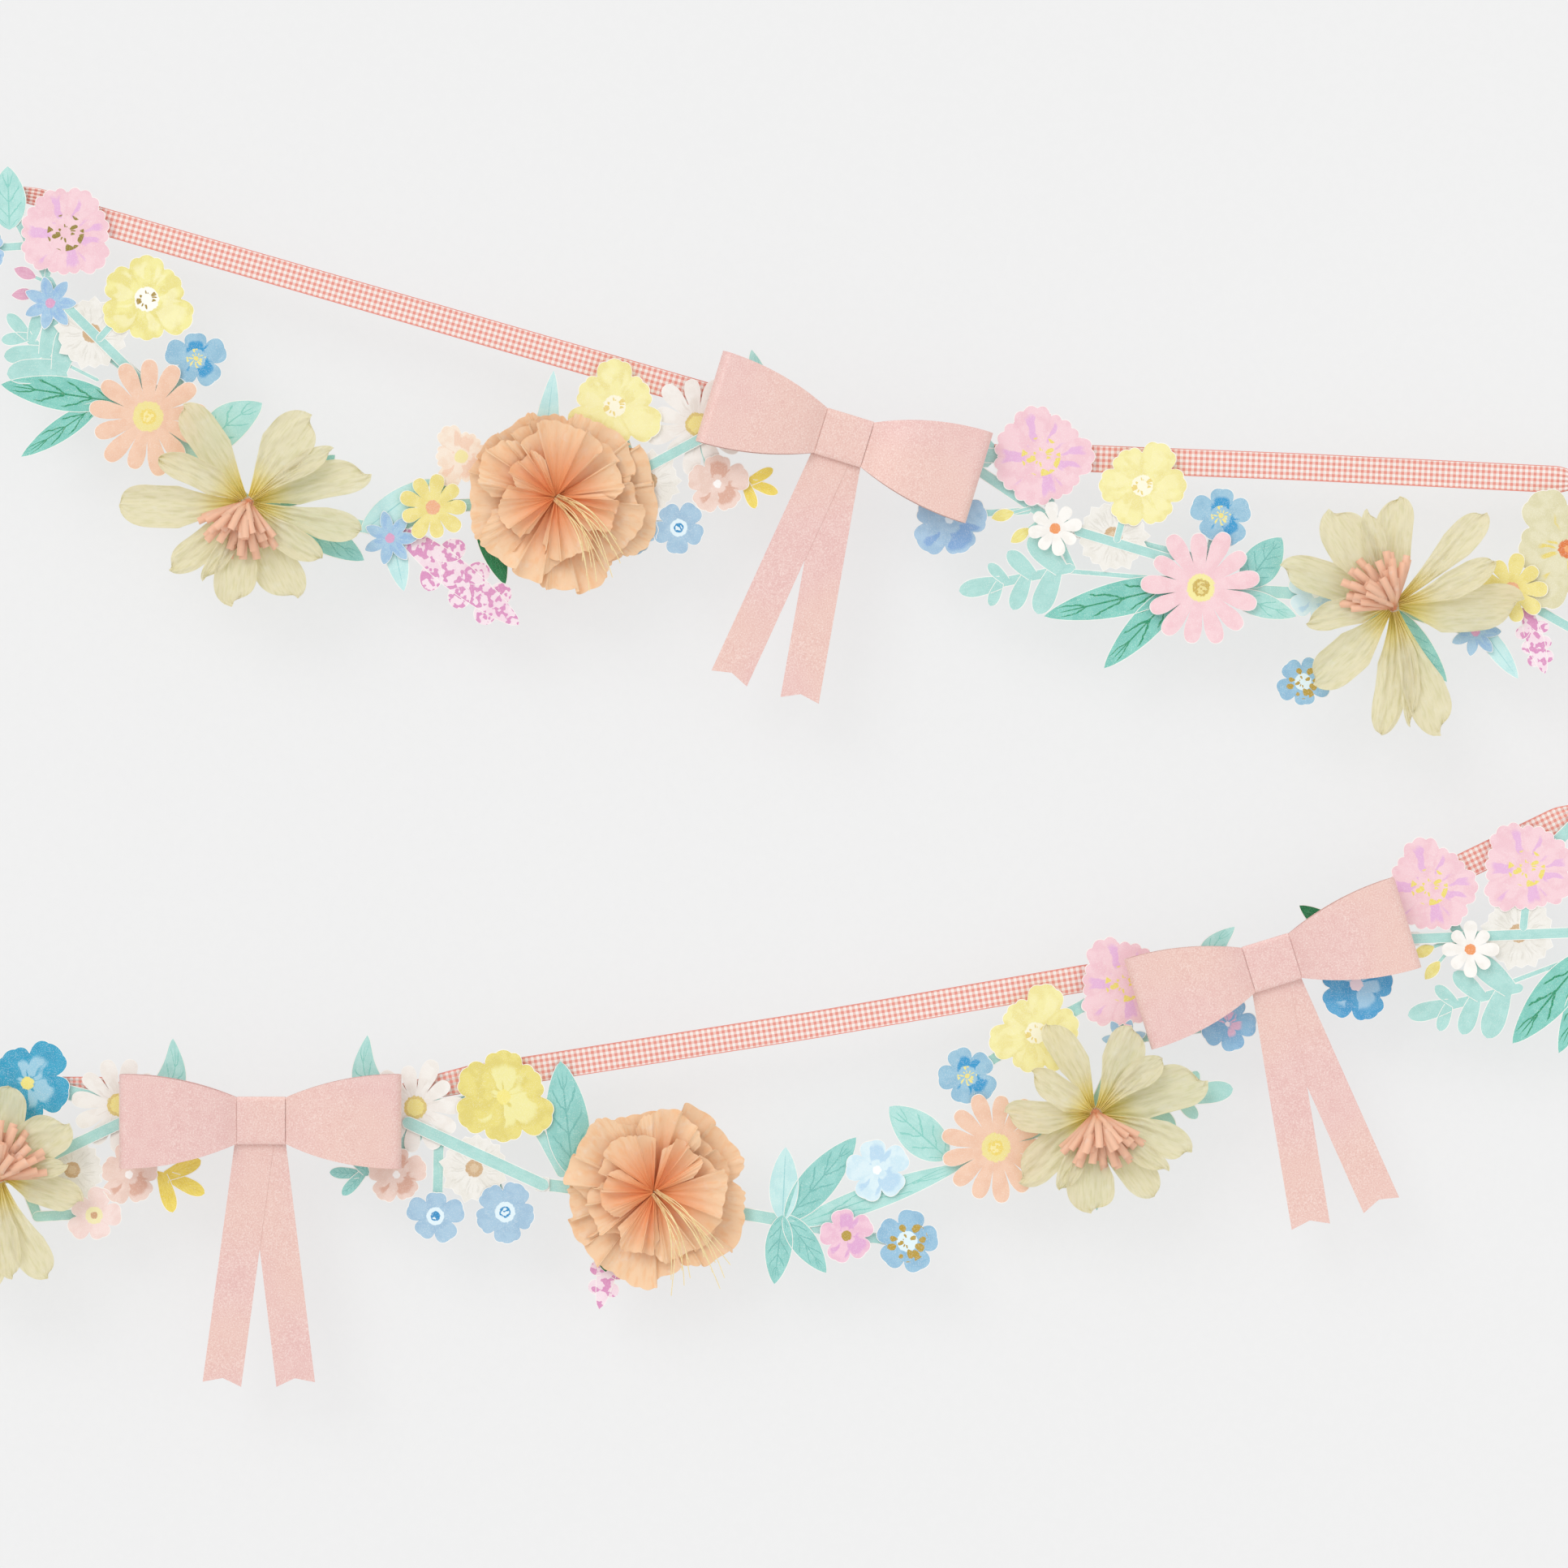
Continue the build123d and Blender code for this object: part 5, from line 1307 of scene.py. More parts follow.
# Daisies: flower, spray and how many layers of foam they stand on
DAISIES = {
    "upper_left_peach_daisy": (Head("daisy", 182, 513, 5, 1.0, "peach_daisy"), "upper_left_a", 2),
    "upper_left_yellow_daisy": (Head("yellow_daisy", 533, 625, 0, 1.0, "yellow_daisy"), "upper_left_b", 2),
    "upper_left_white_daisy": (Head("marguerite", 859, 522, 0, 0.84, "white_daisy"), "upper_left_b", 0),
    "upper_right_pink_daisy": (Head("daisy", 1480, 724, 10, 1.0, "pink_daisy"), "upper_right", 2),
    "upper_right_white_daisy": (Head("small_daisy", 1300, 651, 10, 1.0, "small_daisy"), "upper_right", 2),
    "upper_right_yellow_daisy": (Head("yellow_daisy", 1863, 726, 0, 1.04, "yellow_daisy"), "upper_right", 2),
    "lower_left_white_daisy": (Head("marguerite", 145, 1362, 8, 0.83, "white_daisy"), "lower_left", 0),
    "lower_middle_white_daisy": (Head("marguerite", 511, 1365, 3, 0.82, "white_daisy"), "lower_middle_a", 0),
    "lower_middle_peach_daisy": (Head("daisy", 1227, 1414, 0, 0.95, "peach_daisy"), "lower_middle_b", 2),
    "lower_right_white_daisy": (Head("small_daisy", 1812, 1170, 0, 1.02, "small_daisy"), "lower_right", 2),
}

TABS_PX = {
    "upper_left": ((-24, 229), (936, 505)),
    "upper_right": ((1203, 553), (1962, 592)),
    "lower_left": ((-42, 1345), (222, 1376)),
    "lower_middle": ((436, 1362), (1446, 1198)),
    "lower_right": ((1690, 1124), (1962, 992)),
}

LOOPS_PX = {
    "upper_left": (NAIL_PX, (-60, 224)),
    "upper_right": ((2076, 586), (2024, 596)),
    "lower_right": ((2078, 957), (2024, 963)),
    "lower_left": ((-136, 1330), (-82, 1340)),
}

BOWS_PX = {"bow_1": (1040, 540), "bow_2": (323, 1380), "bow_3": (1566, 1186)}
BOW_SLOPES = {"bow_1": -17.0, "bow_2": 0.0, "bow_3": 17.0}

LILIES_PX = {
    "upper_left": ((306, 620), ((228, 502), (384, 518), (453, 585), (446, 655), (365, 735),
                                (290, 743), (212, 700), (150, 622))),
    "upper_right": ((1716, 747), ((1581, 700), (1640, 632), (1722, 614), (1826, 634), (1870, 741),
                                  (1772, 900), (1700, 905), (1618, 840))),
    "lower_left": ((0, 1450), ((14, 1338), (84, 1384), (100, 1479), (62, 1570), (-20, 1592),
                               (-98, 1560), (-136, 1470), (-92, 1392))),
    "lower_middle": ((1350, 1372), ((1290, 1262), (1394, 1266), (1481, 1331), (1462, 1418),
                                    (1422, 1472), (1345, 1490), (1258, 1452), (1240, 1370))),
}
LILY_TURNS = {"upper_left": 255, "upper_right": 130, "lower_left": 60, "lower_middle": 280}
CARNATIONS_PX = {"upper_left": (685, 613), "lower_middle": (806, 1468)}
CARNATION_SIZES = {"upper_left": 1.0, "lower_middle": 0.98}
THREADS_PX = {
    "upper_left": ((687, 611, 770, 700), (683, 615, 742, 722)),
    "lower_middle": ((804, 1470, 846, 1586), (808, 1466, 900, 1574)),
}

# Swags: their sprays from left to right
SWAGS = {
    "upper_left": ("upper_left_a", "upper_left_b"),
    "upper_right": ("upper_right",),
    "lower_left": ("lower_left",),
    "lower_middle": ("lower_middle_a", "lower_middle_b"),
    "lower_right": ("lower_right",),
}

# Loops between their knots at each ribbon's ends, bows and, for each swag on the way, its name,
# the order of its tabs and the places and widths of the ribbon behind it
STRANDS_PX = {
    "ribbon_upper": (("upper_left", "upper_right"), ("bow_1",), (
        ("upper_left", 1, ((45, 241, 10.0), (128, 272, 15.0), (875, 488, 15.0))),
        ("upper_right", 1, ((1223, 557, 10.0), (1345, 564, 15.0), (1600, 574, 15.0), (1925, 590, 15.0))),
    )),
    "ribbon_lower": (("lower_right", "lower_left"), ("bow_3", "bow_2"), (
        ("lower_right", -1, ((1925, 1010, 15.0), (1725, 1107, 15.0))),
        ("lower_middle", -1, ((1410, 1200, 12.0), (1343, 1205, 15.0), (1000, 1264, 15.0),
                              (670, 1316, 15.0), (580, 1330, 15.0), (470, 1354, 10.0))),
        ("lower_left", -1, ((190, 1364, 10.0), (125, 1341, 12.0), (35, 1341, 12.0), (-10, 1343, 10.0))),
    )),
}
SIDE_PX = ((2024, 655), (2034, 740), (2032, 820), (2012, 885))


@dataclass(frozen=True)
class Ribbon:
    """A run of gingham ribbon: flat between the sprays and gathered through tabs and bows."""

    name: str
    stations: list
    step: float = 2.0
    pleats: int = 5
    ease: float = 5.0
    ripple: float = 0.25
    ripple_run: float = 31.0

    def make(self) -> None:
        """Makes the ribbon along its smoothed stations, as one closed thin sheet."""
        rows = np.array(self.stations)
        distance = distances(rows[:, :3])
        samples = np.linspace(0, distance[-1], int(distance[-1] / self.step))
        path = np.column_stack([np.interp(samples, distance, column) for column in rows.T])
        reach = int(self.ease / self.step)
        padded = np.pad(path, ((reach, reach), (0, 0)), mode="edge")
        kernel = np.hanning(2 * reach + 3)[1:-1]
        kernel = kernel / kernel.sum()
        path = np.column_stack([np.convolve(column, kernel, "valid") for column in padded.T])
        side = sides(np.gradient(path[:, :2], axis=0))
        columns = np.linspace(-1, 1, self.pleats * 10 + 1)
        width = path[:, 3:]
        fullness = np.maximum((RIBBON_WIDTH / width) ** 2 - 1, 0)
        fold = width / (math.tau * self.pleats) * np.sqrt(2 * fullness) * 0.9
        ripple = self.ripple * np.sin(samples[:, None] / self.ripple_run) * (width / RIBBON_WIDTH) ** 4
        level = path[:, 2:3] + fold * np.cos(math.pi * self.pleats * columns) + ripple * columns ** 2
        offsets = width / 2 * columns
        spots = path[:, None, :2] + offsets[:, :, None] * side[:, None, :]
        flat = pairs(offsets, columns * RIBBON_WIDTH / 2, samples[:, None])
        front, back = (np.dstack([spots, level + way * RIBBON_CLOTH / 2]) for way in (1, -1))
        sheets = Sheets()
        sheets.add(front, back, flat, flat, "gingham", "gingham")
        piece = sheets.declare(self.name, "garland_line", "gingham_ribbon")


def front_station(place: Grid) -> tuple:
    """Station of the gathered ribbon's run in front."""
    return (*place, 0.0, GATHERED_WIDTH)


def tab_stations(end_px: Point, ahead: Grid) -> list:
    """Stations where the gathered ribbon slopes through a tab towards a point ahead, in front.

    Args:
        end_px: the tab's place on the picture.
        ahead: the point that the ribbon goes to.

    Returns:
        Two stations.
    """
    centre = at(*end_px)
    heading = course(centre, ahead)[1]
    return [(*(centre - heading * RAMP_BEHIND), BACK_RUN, GATHERED_WIDTH),
            front_station(centre + heading * RAMP_AHEAD)]


def knot_point(name: str, towards: Grid) -> Grid:
    """Point on a tied knot's side that faces a place."""
    knot = at(*LOOPS_PX[name][1])
    return knot + course(knot, towards)[1] * KNOT_RADIUS


def strand(name: str) -> Ribbon:
    """Ribbon that runs from loop to loop, behind the sprays and under the bows.

    Args:
        name: its name.

    Returns:
        The ribbon.
    """
    loops, bows, swags = STRANDS_PX[name]
    tabs = [TABS_PX[swag][::way] for swag, way, _ in swags]
    fronts = [knot_point(loops[0], at(*tabs[0][0])), *(at(*BOWS_PX[bow]) for bow in bows),
              knot_point(loops[1], at(*tabs[-1][1]))]
    stations = [front_station(fronts[0])]
    for (_, _, rows), (near, far), before, after in zip(swags, tabs, fronts, fronts[1:]):
        stations += reversed(tab_stations(near, before))
        stations += [(*at(x_px, y_px), BACK_RUN, width) for x_px, y_px, width in rows]
        stations += [*tab_stations(far, after), front_station(after)]
    return Ribbon(name, stations)


def side_ribbon() -> Ribbon:
    """Run outside the picture, from the upper right knot down to the lower right knot."""
    places = [at(*place) for place in SIDE_PX]
    ends = [front_station(knot_point(name, place))
            for name, place in (("upper_right", places[0]), ("lower_right", places[-1]))]
    middle = [(*place, 0.0, RIBBON_WIDTH) for place in places]
    return Ribbon("ribbon_side", [ends[0], *middle, ends[1]])


@dataclass(frozen=True)
class TiedLoop:
    """Ribbon tied into an eye for a nail, with its knot."""

    name: str
    eye: float = 6.0
    strand: float = 3.0
    folds: int = 7
    knot_depth: float = 2.4

    def make(self) -> None:
        """Makes the eye and its knot."""
        nail, knot = (at(*place) for place in LOOPS_PX[self.name])
        length, heading, _ = course(nail, knot)
        length -= self.eye
        turn = math.atan2(heading[1], heading[0])
        sheets = Sheets()
        for x, y, level, flat in (self.eye_part(length), self.knot_part(length)):
            outer = triples(*turned(x + self.eye, y, turn, nail), level)
            sheets.tube(outer, flat, "gingham")
        sheets.declare("hanging_loop_" + self.name, "garland_line", "gingham_ribbon", 60.0)

    def eye_part(self, length: float) -> tuple[Grid, Grid, Grid, Grid]:
        """Gathered ribbon round the eye, which is the centre of its own plane.

        Args:
            length: how far the knot is from the eye.

        Returns:
            Its x, y and level, and its print coordinates.
        """
        half = self.strand / 2
        radius = self.eye + half
        tangent = math.acos(self.eye / length)
        bend = np.linspace(tangent, math.tau - tangent, 40)
        arc = radius * np.column_stack([np.cos(bend), np.sin(bend)])
        line = np.vstack([[length, half], arc, [length, -half]])
        reach = distances(line)
        even = np.linspace(0, reach[-1], 64)
        line = np.column_stack([np.interp(even, reach, column) for column in line.T])
        side = sides(np.gradient(line, axis=0))
        around = np.linspace(0, math.tau, 42, endpoint=False)
        thick = half * (0.86 + 0.14 * np.cos(self.folds * around))
        spots = line[:, None, :] + (thick * np.cos(around))[None, :, None] * side[:, None, :]
        flat = pairs(spots, (around - math.pi) * RIBBON_WIDTH / math.tau, distances(line)[:, None])
        return spots[..., 0], spots[..., 1], thick * np.sin(around), flat

    def knot_part(self, length: float) -> tuple[Grid, Grid, Grid, Grid]:
        """Knot: a flattened ball with a spiral of folds.

        Args:
            length: how far its middle is from the eye.

        Returns:
            Its x, y and level, and its print coordinates.
        """
        polar = np.linspace(0.12, math.pi - 0.12, 26)[:, None]
        around = np.linspace(0, math.tau, 64, endpoint=False)
        folds = 1 + 0.05 * np.cos(5 * around + 4 * polar) * np.sin(polar)
        x = length - KNOT_RADIUS * np.cos(polar) * np.ones_like(around)
        y = KNOT_RADIUS * np.sin(polar) * np.cos(around) * folds
        level = self.knot_depth * np.sin(polar) * np.sin(around) * folds
        flat = pairs(x, around * 2.4 - RIBBON_WIDTH / 2, polar * KNOT_RADIUS + around)
        return x, y, level, flat


def squared(wave: Grid, power: float) -> Grid:
    """Sine or cosine made squarer, for the outline of a block with round corners."""
    return np.sign(wave) * np.abs(wave) ** power


@dataclass(frozen=True)
class Bow:
    """Folded card bow: loop band, knot band, two tails and a foam pad."""

    name: str
    reach: float = 78.0
    outer_height: float = 52.0
    knot_width: float = 26.5
    knot_height: float = 26.5
    knot_depth: float = 3.4
    knot_crown: float = 0.5
    loop_depth: float = 12.0
    card: float = 0.5
    back_rise: float = 0.22
    tail_width: float = 21.5
    tail_length: float = 134.0
    tail_notch: float = 3.5
    tail_tuck: float = 8.0
    tail_curl: float = 1.2
    tail_hollow: float = 0.15
    tail_tops: tuple = ((2.6, 7.0), (-4.2, -7.6))     # each tail's place and turn in degrees
    pad_size: Point = (18.0, 10.0)
    pad_front: float = GATHERED_THICKNESS / 2 + FOAM
    knot_back: float = GATHERED_THICKNESS / 2 + FOAM + 2 * CARD

    def placed(self, x: Grid, y: Grid, level: Grid) -> Grid:
        """Points moved from the bow's own place to its place on the ribbon."""
        turn = math.radians(BOW_SLOPES[self.name])
        return triples(*turned(x, y, turn, at(*BOWS_PX[self.name])), level)

    def make_band(self, part: str, front: Grid, back: Grid, flat: Grid) -> None:
        """Makes the loop band or the knot band."""
        sheets = Sheets()
        sheets.add(front, back, flat, flat, "bow_card", "bow_edge", wrap=True)
        sheets.declare(self.name + part, "garland_line", "pearl_card", 50.0)

    def loop_profile(self) -> Grid:
        """Right half of the loop band seen from above: back strip, fold and front strip.

        Returns:
            Points of x and level, from the middle of the back to the middle of the front.
        """
        half = self.knot_width / 2
        pinch = self.knot_depth - 2 * self.card
        fold = self.reach - self.loop_depth / 2
        rise = self.loop_depth * self.back_rise
        share = np.linspace(0, 1, 25)
        back = np.column_stack([half + (fold - half) * share, rise * share])
        turn = np.linspace(-math.pi / 2, math.pi / 2, 17)[1:-1]
        bend = np.column_stack([fold + self.loop_depth / 2 * np.cos(turn),
                                (rise + self.loop_depth) / 2 + (self.loop_depth - rise) / 2 * np.sin(turn)])
        front = np.column_stack([half + (fold - half) * share,
                                 pinch + (self.loop_depth - pinch) * (1 - (1 - share) ** 4)])
        middle = np.linspace(0, half, 5)[:-1]
        under = np.column_stack([middle, middle * 0])
        return np.vstack([under, back, bend, front[::-1], under[::-1] + (0, pinch)])

    def make_loops(self) -> None:
        """Makes the folded loop band."""
        right = self.loop_profile()
        ring = np.vstack([right, right[1:-1][::-1] * (-1, 1)])
        before = np.roll(ring, 1, axis=0)
        inner = ring + sides(np.roll(ring, -1, axis=0) - before) * self.card
        half = self.knot_width / 2
        share = np.clip((np.abs(ring[:, 0]) - half) / (self.reach - half), 0, 1)
        knot_top = self.knot_height / 2 - self.card
        height = knot_top + (self.outer_height / 2 - knot_top) * (1 - (1 - share) ** 2.1)
        y = np.linspace(-1, 1, 9)[:, None] * height
        level = self.knot_back + self.card
        front, back = (self.placed(line[:, 0], y, line[:, 1] + level) for line in (ring, inner))
        self.make_band("_loops", front, back, pairs(y, np.cumsum(np.hypot(*(ring - before).T)), y))

    def make_knot(self, power: float = 0.22) -> None:
        """Makes the knot band with a gentle crown."""
        half_depth = self.knot_depth / 2
        half_height = self.knot_height / 2
        turn = np.linspace(0, math.tau, 96, endpoint=False)
        z = half_depth * squared(np.sin(turn), power)
        y = half_height * squared(np.cos(turn), power)
        middle = self.knot_back + half_depth + self.knot_crown * np.maximum(np.sin(turn), 0) ** 2
        x = np.linspace(-1, 1, 9)[:, None] * self.knot_width / 2 * np.ones_like(turn)
        front = self.placed(x, y, middle + z)
        back = self.placed(x, y * (1 - self.card / half_height), middle + z * (1 - self.card / half_depth))
        self.make_band("_knot", front, back, pairs(x, x, turn * 10))

    def make_tails(self) -> None:
        """Makes the two tails, the left one in front."""
        sheets = Sheets()
        rows = np.linspace(0, 1, 40)[:, None]
        columns = np.linspace(-1, 1, 13)
        bottom = self.tail_length - self.tail_notch * (1 - np.abs(columns))
        y = self.tail_tuck - rows * (bottom + self.tail_tuck)
        x = columns * self.tail_width / 2 * np.ones_like(y)
        curl = self.tail_curl * rows ** 3 + self.tail_hollow * x ** 2 / self.tail_width
        for i, (top, lean) in enumerate(self.tail_tops):
            level = self.pad_front + CARD * i + curl - curl[0]
            spun = turned(x, y, math.radians(lean), (top, -self.knot_height / 2))
            front, back = self.placed(*spun, level + CARD), self.placed(*spun, level)
            sheets.add(front, back, pairs(x, x, y), pairs(x, x, y), "bow_card", "bow_edge")
        sheets.declare(self.name + "_tails", "garland_line", "pearl_card")

    def make_pad(self) -> None:
        """Makes the foam pad on the gathered ribbon."""
        sheets = Sheets()
        turn = math.radians(BOW_SLOPES[self.name])
        foam_block(sheets, at(*BOWS_PX[self.name]), self.pad_size, GATHERED_THICKNESS / 2,
                   self.pad_front, turn)
        sheets.declare(self.name + "_foam", "garland_line", "foam_pad")

    def make(self) -> None:
        """Makes the four pieces."""
        self.make_loops()
        self.make_knot()
        self.make_tails()
        self.make_pad()


def foam_block(sheets: Sheets, centre: Grid, size: Point, bottom: float, top: float,
               turn: float = 0.0, power: float = 0.2) -> None:
    """Adds one die-cut foam pad, pressed in a little at its waist.

    Args:
        sheets: the mesh being collected.
        centre: its middle on the drawing.
        size: its width and height.
        bottom: level of its back.
        top: level of its front.
        turn: its slope, in radians.
        power: the lower it is, the squarer its corners are.
    """
    around = np.linspace(0, math.tau, 32, endpoint=False)
    rings = np.array([(0.0, 0.98), (0.08, 1.0), (0.5, 0.975), (0.92, 1.0), (1.0, 0.98)])
    x = rings[:, 1:] * size[0] / 2 * squared(np.cos(around), power)
    y = rings[:, 1:] * size[1] / 2 * squared(np.sin(around), power)
    outer = triples(*turned(x, y, turn, centre), bottom + (top - bottom) * rings[:, :1])
    sheets.tube(outer, outer[..., :2] * 0.1, "foam")


@dataclass(frozen=True)
class Lily:
    """Tissue lily: crinkled petals round a throat, and its coral centre."""

    swag: str
    level: float
    half_width: float = 11.5
    rise: float = 11.0
    cup: float = 2.2
    gap: float = 3.45
    throat: float = 3.4
    paper: float = 0.2
    stalk: float = 3.0
    pleat: float = 0.8
    fold: float = 1.3
    crinkle: float = 0.5
    fine: float = 0.25

    def make_petals(self) -> None:
        """Makes the petals in two layers that take turns, with slim ones over them."""
        sheets = Sheets()
        centre_px, tips_px = LILIES_PX[self.swag]
        centre = at(*centre_px)
        tips = [at(*tip_px) for tip_px in tips_px]
        for i, (tip, following) in enumerate(zip(tips, tips[1:] + tips[:1])):
            self.petal(sheets, centre, tip, self.level + self.gap * (i % 2), i)
            if i % 2:
                short = centre + ((tip + following) / 2 - centre) * 0.92
                self.petal(sheets, centre, short, self.level + self.gap * 1.7, i + 11, 0.62)
        sheets.declare(self.swag + "_lily_petals", self.swag + "_swag", "green_tissue", 60.0)

    def petal(self, sheets: Sheets, centre: Grid, tip: Grid, level: float, number: int,
              slim: float = 1.0) -> None:
        """Adds one petal: pleated in the throat, spoon-shaped and crinkled to a blunt tip.

        Args:
            sheets: the mesh being collected.
            centre: the throat on the drawing.
            tip: the petal's tip on the drawing.
            level: level of its throat.
            number: which petal it is, so that no two are alike.
            slim: share of the full width.
        """
        length, heading, side = course(centre, tip)
        rows = np.linspace(0, 1, 57)[:, None]
        columns = np.linspace(-1, 1, 41)
        widest = 0.5 + 0.16 * math.sin(number * 2.7)
        body = 0.16 + 0.84 * np.clip(rows / widest, 0, 1) ** 1.25
        blunt = 2.2 + 1.2 * math.sin(number * 3.1)
        end = np.sqrt(np.clip(1 - (np.clip(rows - 0.74, 0, 1) / 0.26) ** blunt, 0.003, 1))
        half = self.half_width * slim * (0.95 + 0.2 * math.sin(number * 1.9 + centre[0])) * body * end
        skew = 0.05 * math.sin(number * 2.3 + centre[1])
        reach = self.throat + (length - self.throat) * rows * (1 + skew * columns * rows)
        sway = 0.05 * length * math.sin(number * 1.3 + centre[0]) * np.sin(math.pi * rows)
        offsets = half * columns + sway
        rise = np.interp(rows, (0, 0.25, 0.6, 0.9, 1.0), (0.42, 0.68, 0.93, 1.0, 0.94)) * self.rise
        cup = self.cup * (1 + 0.7 * math.sin(number * 2.9)) * (half / self.half_width)
        pleat = self.pleat * (1 - rows) ** 1.2 * np.cos(columns * 12 + number)
        fold = self.fold * np.abs(np.sin(columns * 2.6 + number * 1.7 + 0.7 * rows)) * rows
        crinkle = self.crinkle * np.sin(columns * 6 + number * 3 + 5 * rows) * np.sin(rows * 9 + number)
        fine = self.fine * np.sin(columns * 15 + number + 9 * rows) * np.cos(rows * 19 + number * 2)
        height = rise + cup * columns ** 2 + pleat - fold + (crinkle + fine) * np.minimum(rows * 4, 1)
        spots = centre + reach[:, :, None] * heading + offsets[:, :, None] * side
        front, back = shell(np.dstack([spots, level + height]), self.paper)
        petal = pairs(offsets, np.abs(columns), rows)
        sheets.add(front, back, pairs(offsets, offsets + number * 40, reach), petal,
                   "lily_tissue", "lily_tissue")

    def make_tuft(self) -> None:
        """Makes the coral centre: a stalk and a fan of cut strips."""
        node = self.swag + "_lily_tuft"
        x, y = at(*LILIES_PX[self.swag][0])
        around = np.linspace(0, math.tau, 36, endpoint=False)
        share = np.linspace(0, 1, 8)[:, None]
        radius = self.stalk * (0.88 + 0.12 * np.cos(9 * around)) * (1 - 0.1 * share)
        outer = triples(x + radius * np.cos(around), y + radius * np.sin(around),
                        self.level + self.rise / 2 * share)
        sheets = Sheets()
        sheets.tube(outer, outer[..., :2], "coral_tissue")
        stalk = sheets.make(node + "_stalk", 60.0)
        top = (x * METRES, -(self.level + self.rise / 2) * METRES, y * METRES)
        fringe = Fringe(node + "_fringe", LILY_TURNS[self.swag]).make(top)
        declare(join(node, [stalk, fringe]), self.swag + "_swag", node)

    def make(self) -> None:
        """Makes the petals and the centre."""
        self.make_petals()
        self.make_tuft()


def join(name: str, parts: list[bpy.types.Object]) -> bpy.types.Object:
    """One mesh object from several, at the origin.

    Args:
        name: the joined piece's name.
        parts: mesh objects, which are used up.

    Returns:
        The joined object.
    """
    shape = bmesh.new()
    finishes: list = []
    for part in parts:
        offset = len(shape.faces)
        shape.from_mesh(part.data)
        shape.faces.ensure_lookup_table()
        for face in shape.faces[offset:]:
            finish = part.data.materials[face.material_index]
            if finish not in finishes:
                finishes.append(finish)
            face.material_index = finishes.index(finish)
    mesh = bpy.data.meshes.new(name + SHOWN)
    shape.to_mesh(mesh)
    shape.free()
    for finish in finishes:
        mesh.materials.append(finish)
    for part in parts:
        bpy.data.objects.remove(part)
    return put_in(name + SHOWN, mesh)


class Grown(Nodes):
    """Piece that a geometry node group grows from points and edges, with named inputs."""

    def __init__(self, name: str, points: list, edges: list) -> None:
        """Starts the piece, in metres, and its group."""
        super().__init__(bpy.data.node_groups.new(name, "GeometryNodeTree"))
        for way in ("INPUT", "OUTPUT"):
            self.tree.interface.new_socket("Geometry", in_out=way, socket_type="NodeSocketGeometry")
        mesh = bpy.data.meshes.new(name + SHOWN)
        mesh.from_pydata(points, edges, [])
        self.piece = put_in(name + SHOWN, mesh)
        self.values: dict = {}
        self.start = self.tree.nodes.new("NodeGroupInput")

    def value(self, name: str, amount: float) -> object:
        """Adds a named input and gives its socket.

        Args:
            name: the input's name.
            amount: the value that the modifier sets.

        Returns:
            The socket inside the group.
        """
        kind = "NodeSocketInt" if isinstance(amount, int) else "NodeSocketFloat"
        socket = self.tree.interface.new_socket(name, in_out="INPUT", socket_type=kind)
        self.values[socket.identifier] = amount
        return self.start.outputs[name]

    def random(self, low: float, high: float, index: object, seed: object) -> object:
        """Random number for each point."""
        return self.add("FunctionNodeRandomValue", {2: low, 3: high, "ID": index, "Seed": seed}, 1)

    def applied(self, geometry: object, finish: str) -> bpy.types.Object:
        """Dresses the group's result, runs it on the piece and keeps the mesh it makes.

        Args:
            geometry: the socket of the result.
            finish: its finish.

        Returns:
            The piece with its mesh replaced.
        """
        painted = self.add("GeometryNodeSetMaterial", {0: geometry, "Material": material(finish)})
        self.add("NodeGroupOutput", {0: painted})
        modifier = self.piece.modifiers.new("Shape", "NODES")
        modifier.node_group = self.tree
        for identifier, amount in self.values.items():
            modifier[identifier] = amount
        depsgraph = bpy.context.evaluated_depsgraph_get()
        mesh = bpy.data.meshes.new_from_object(self.piece.evaluated_get(depsgraph))
        self.piece.modifiers.clear()
        self.piece.data = mesh
        return self.piece


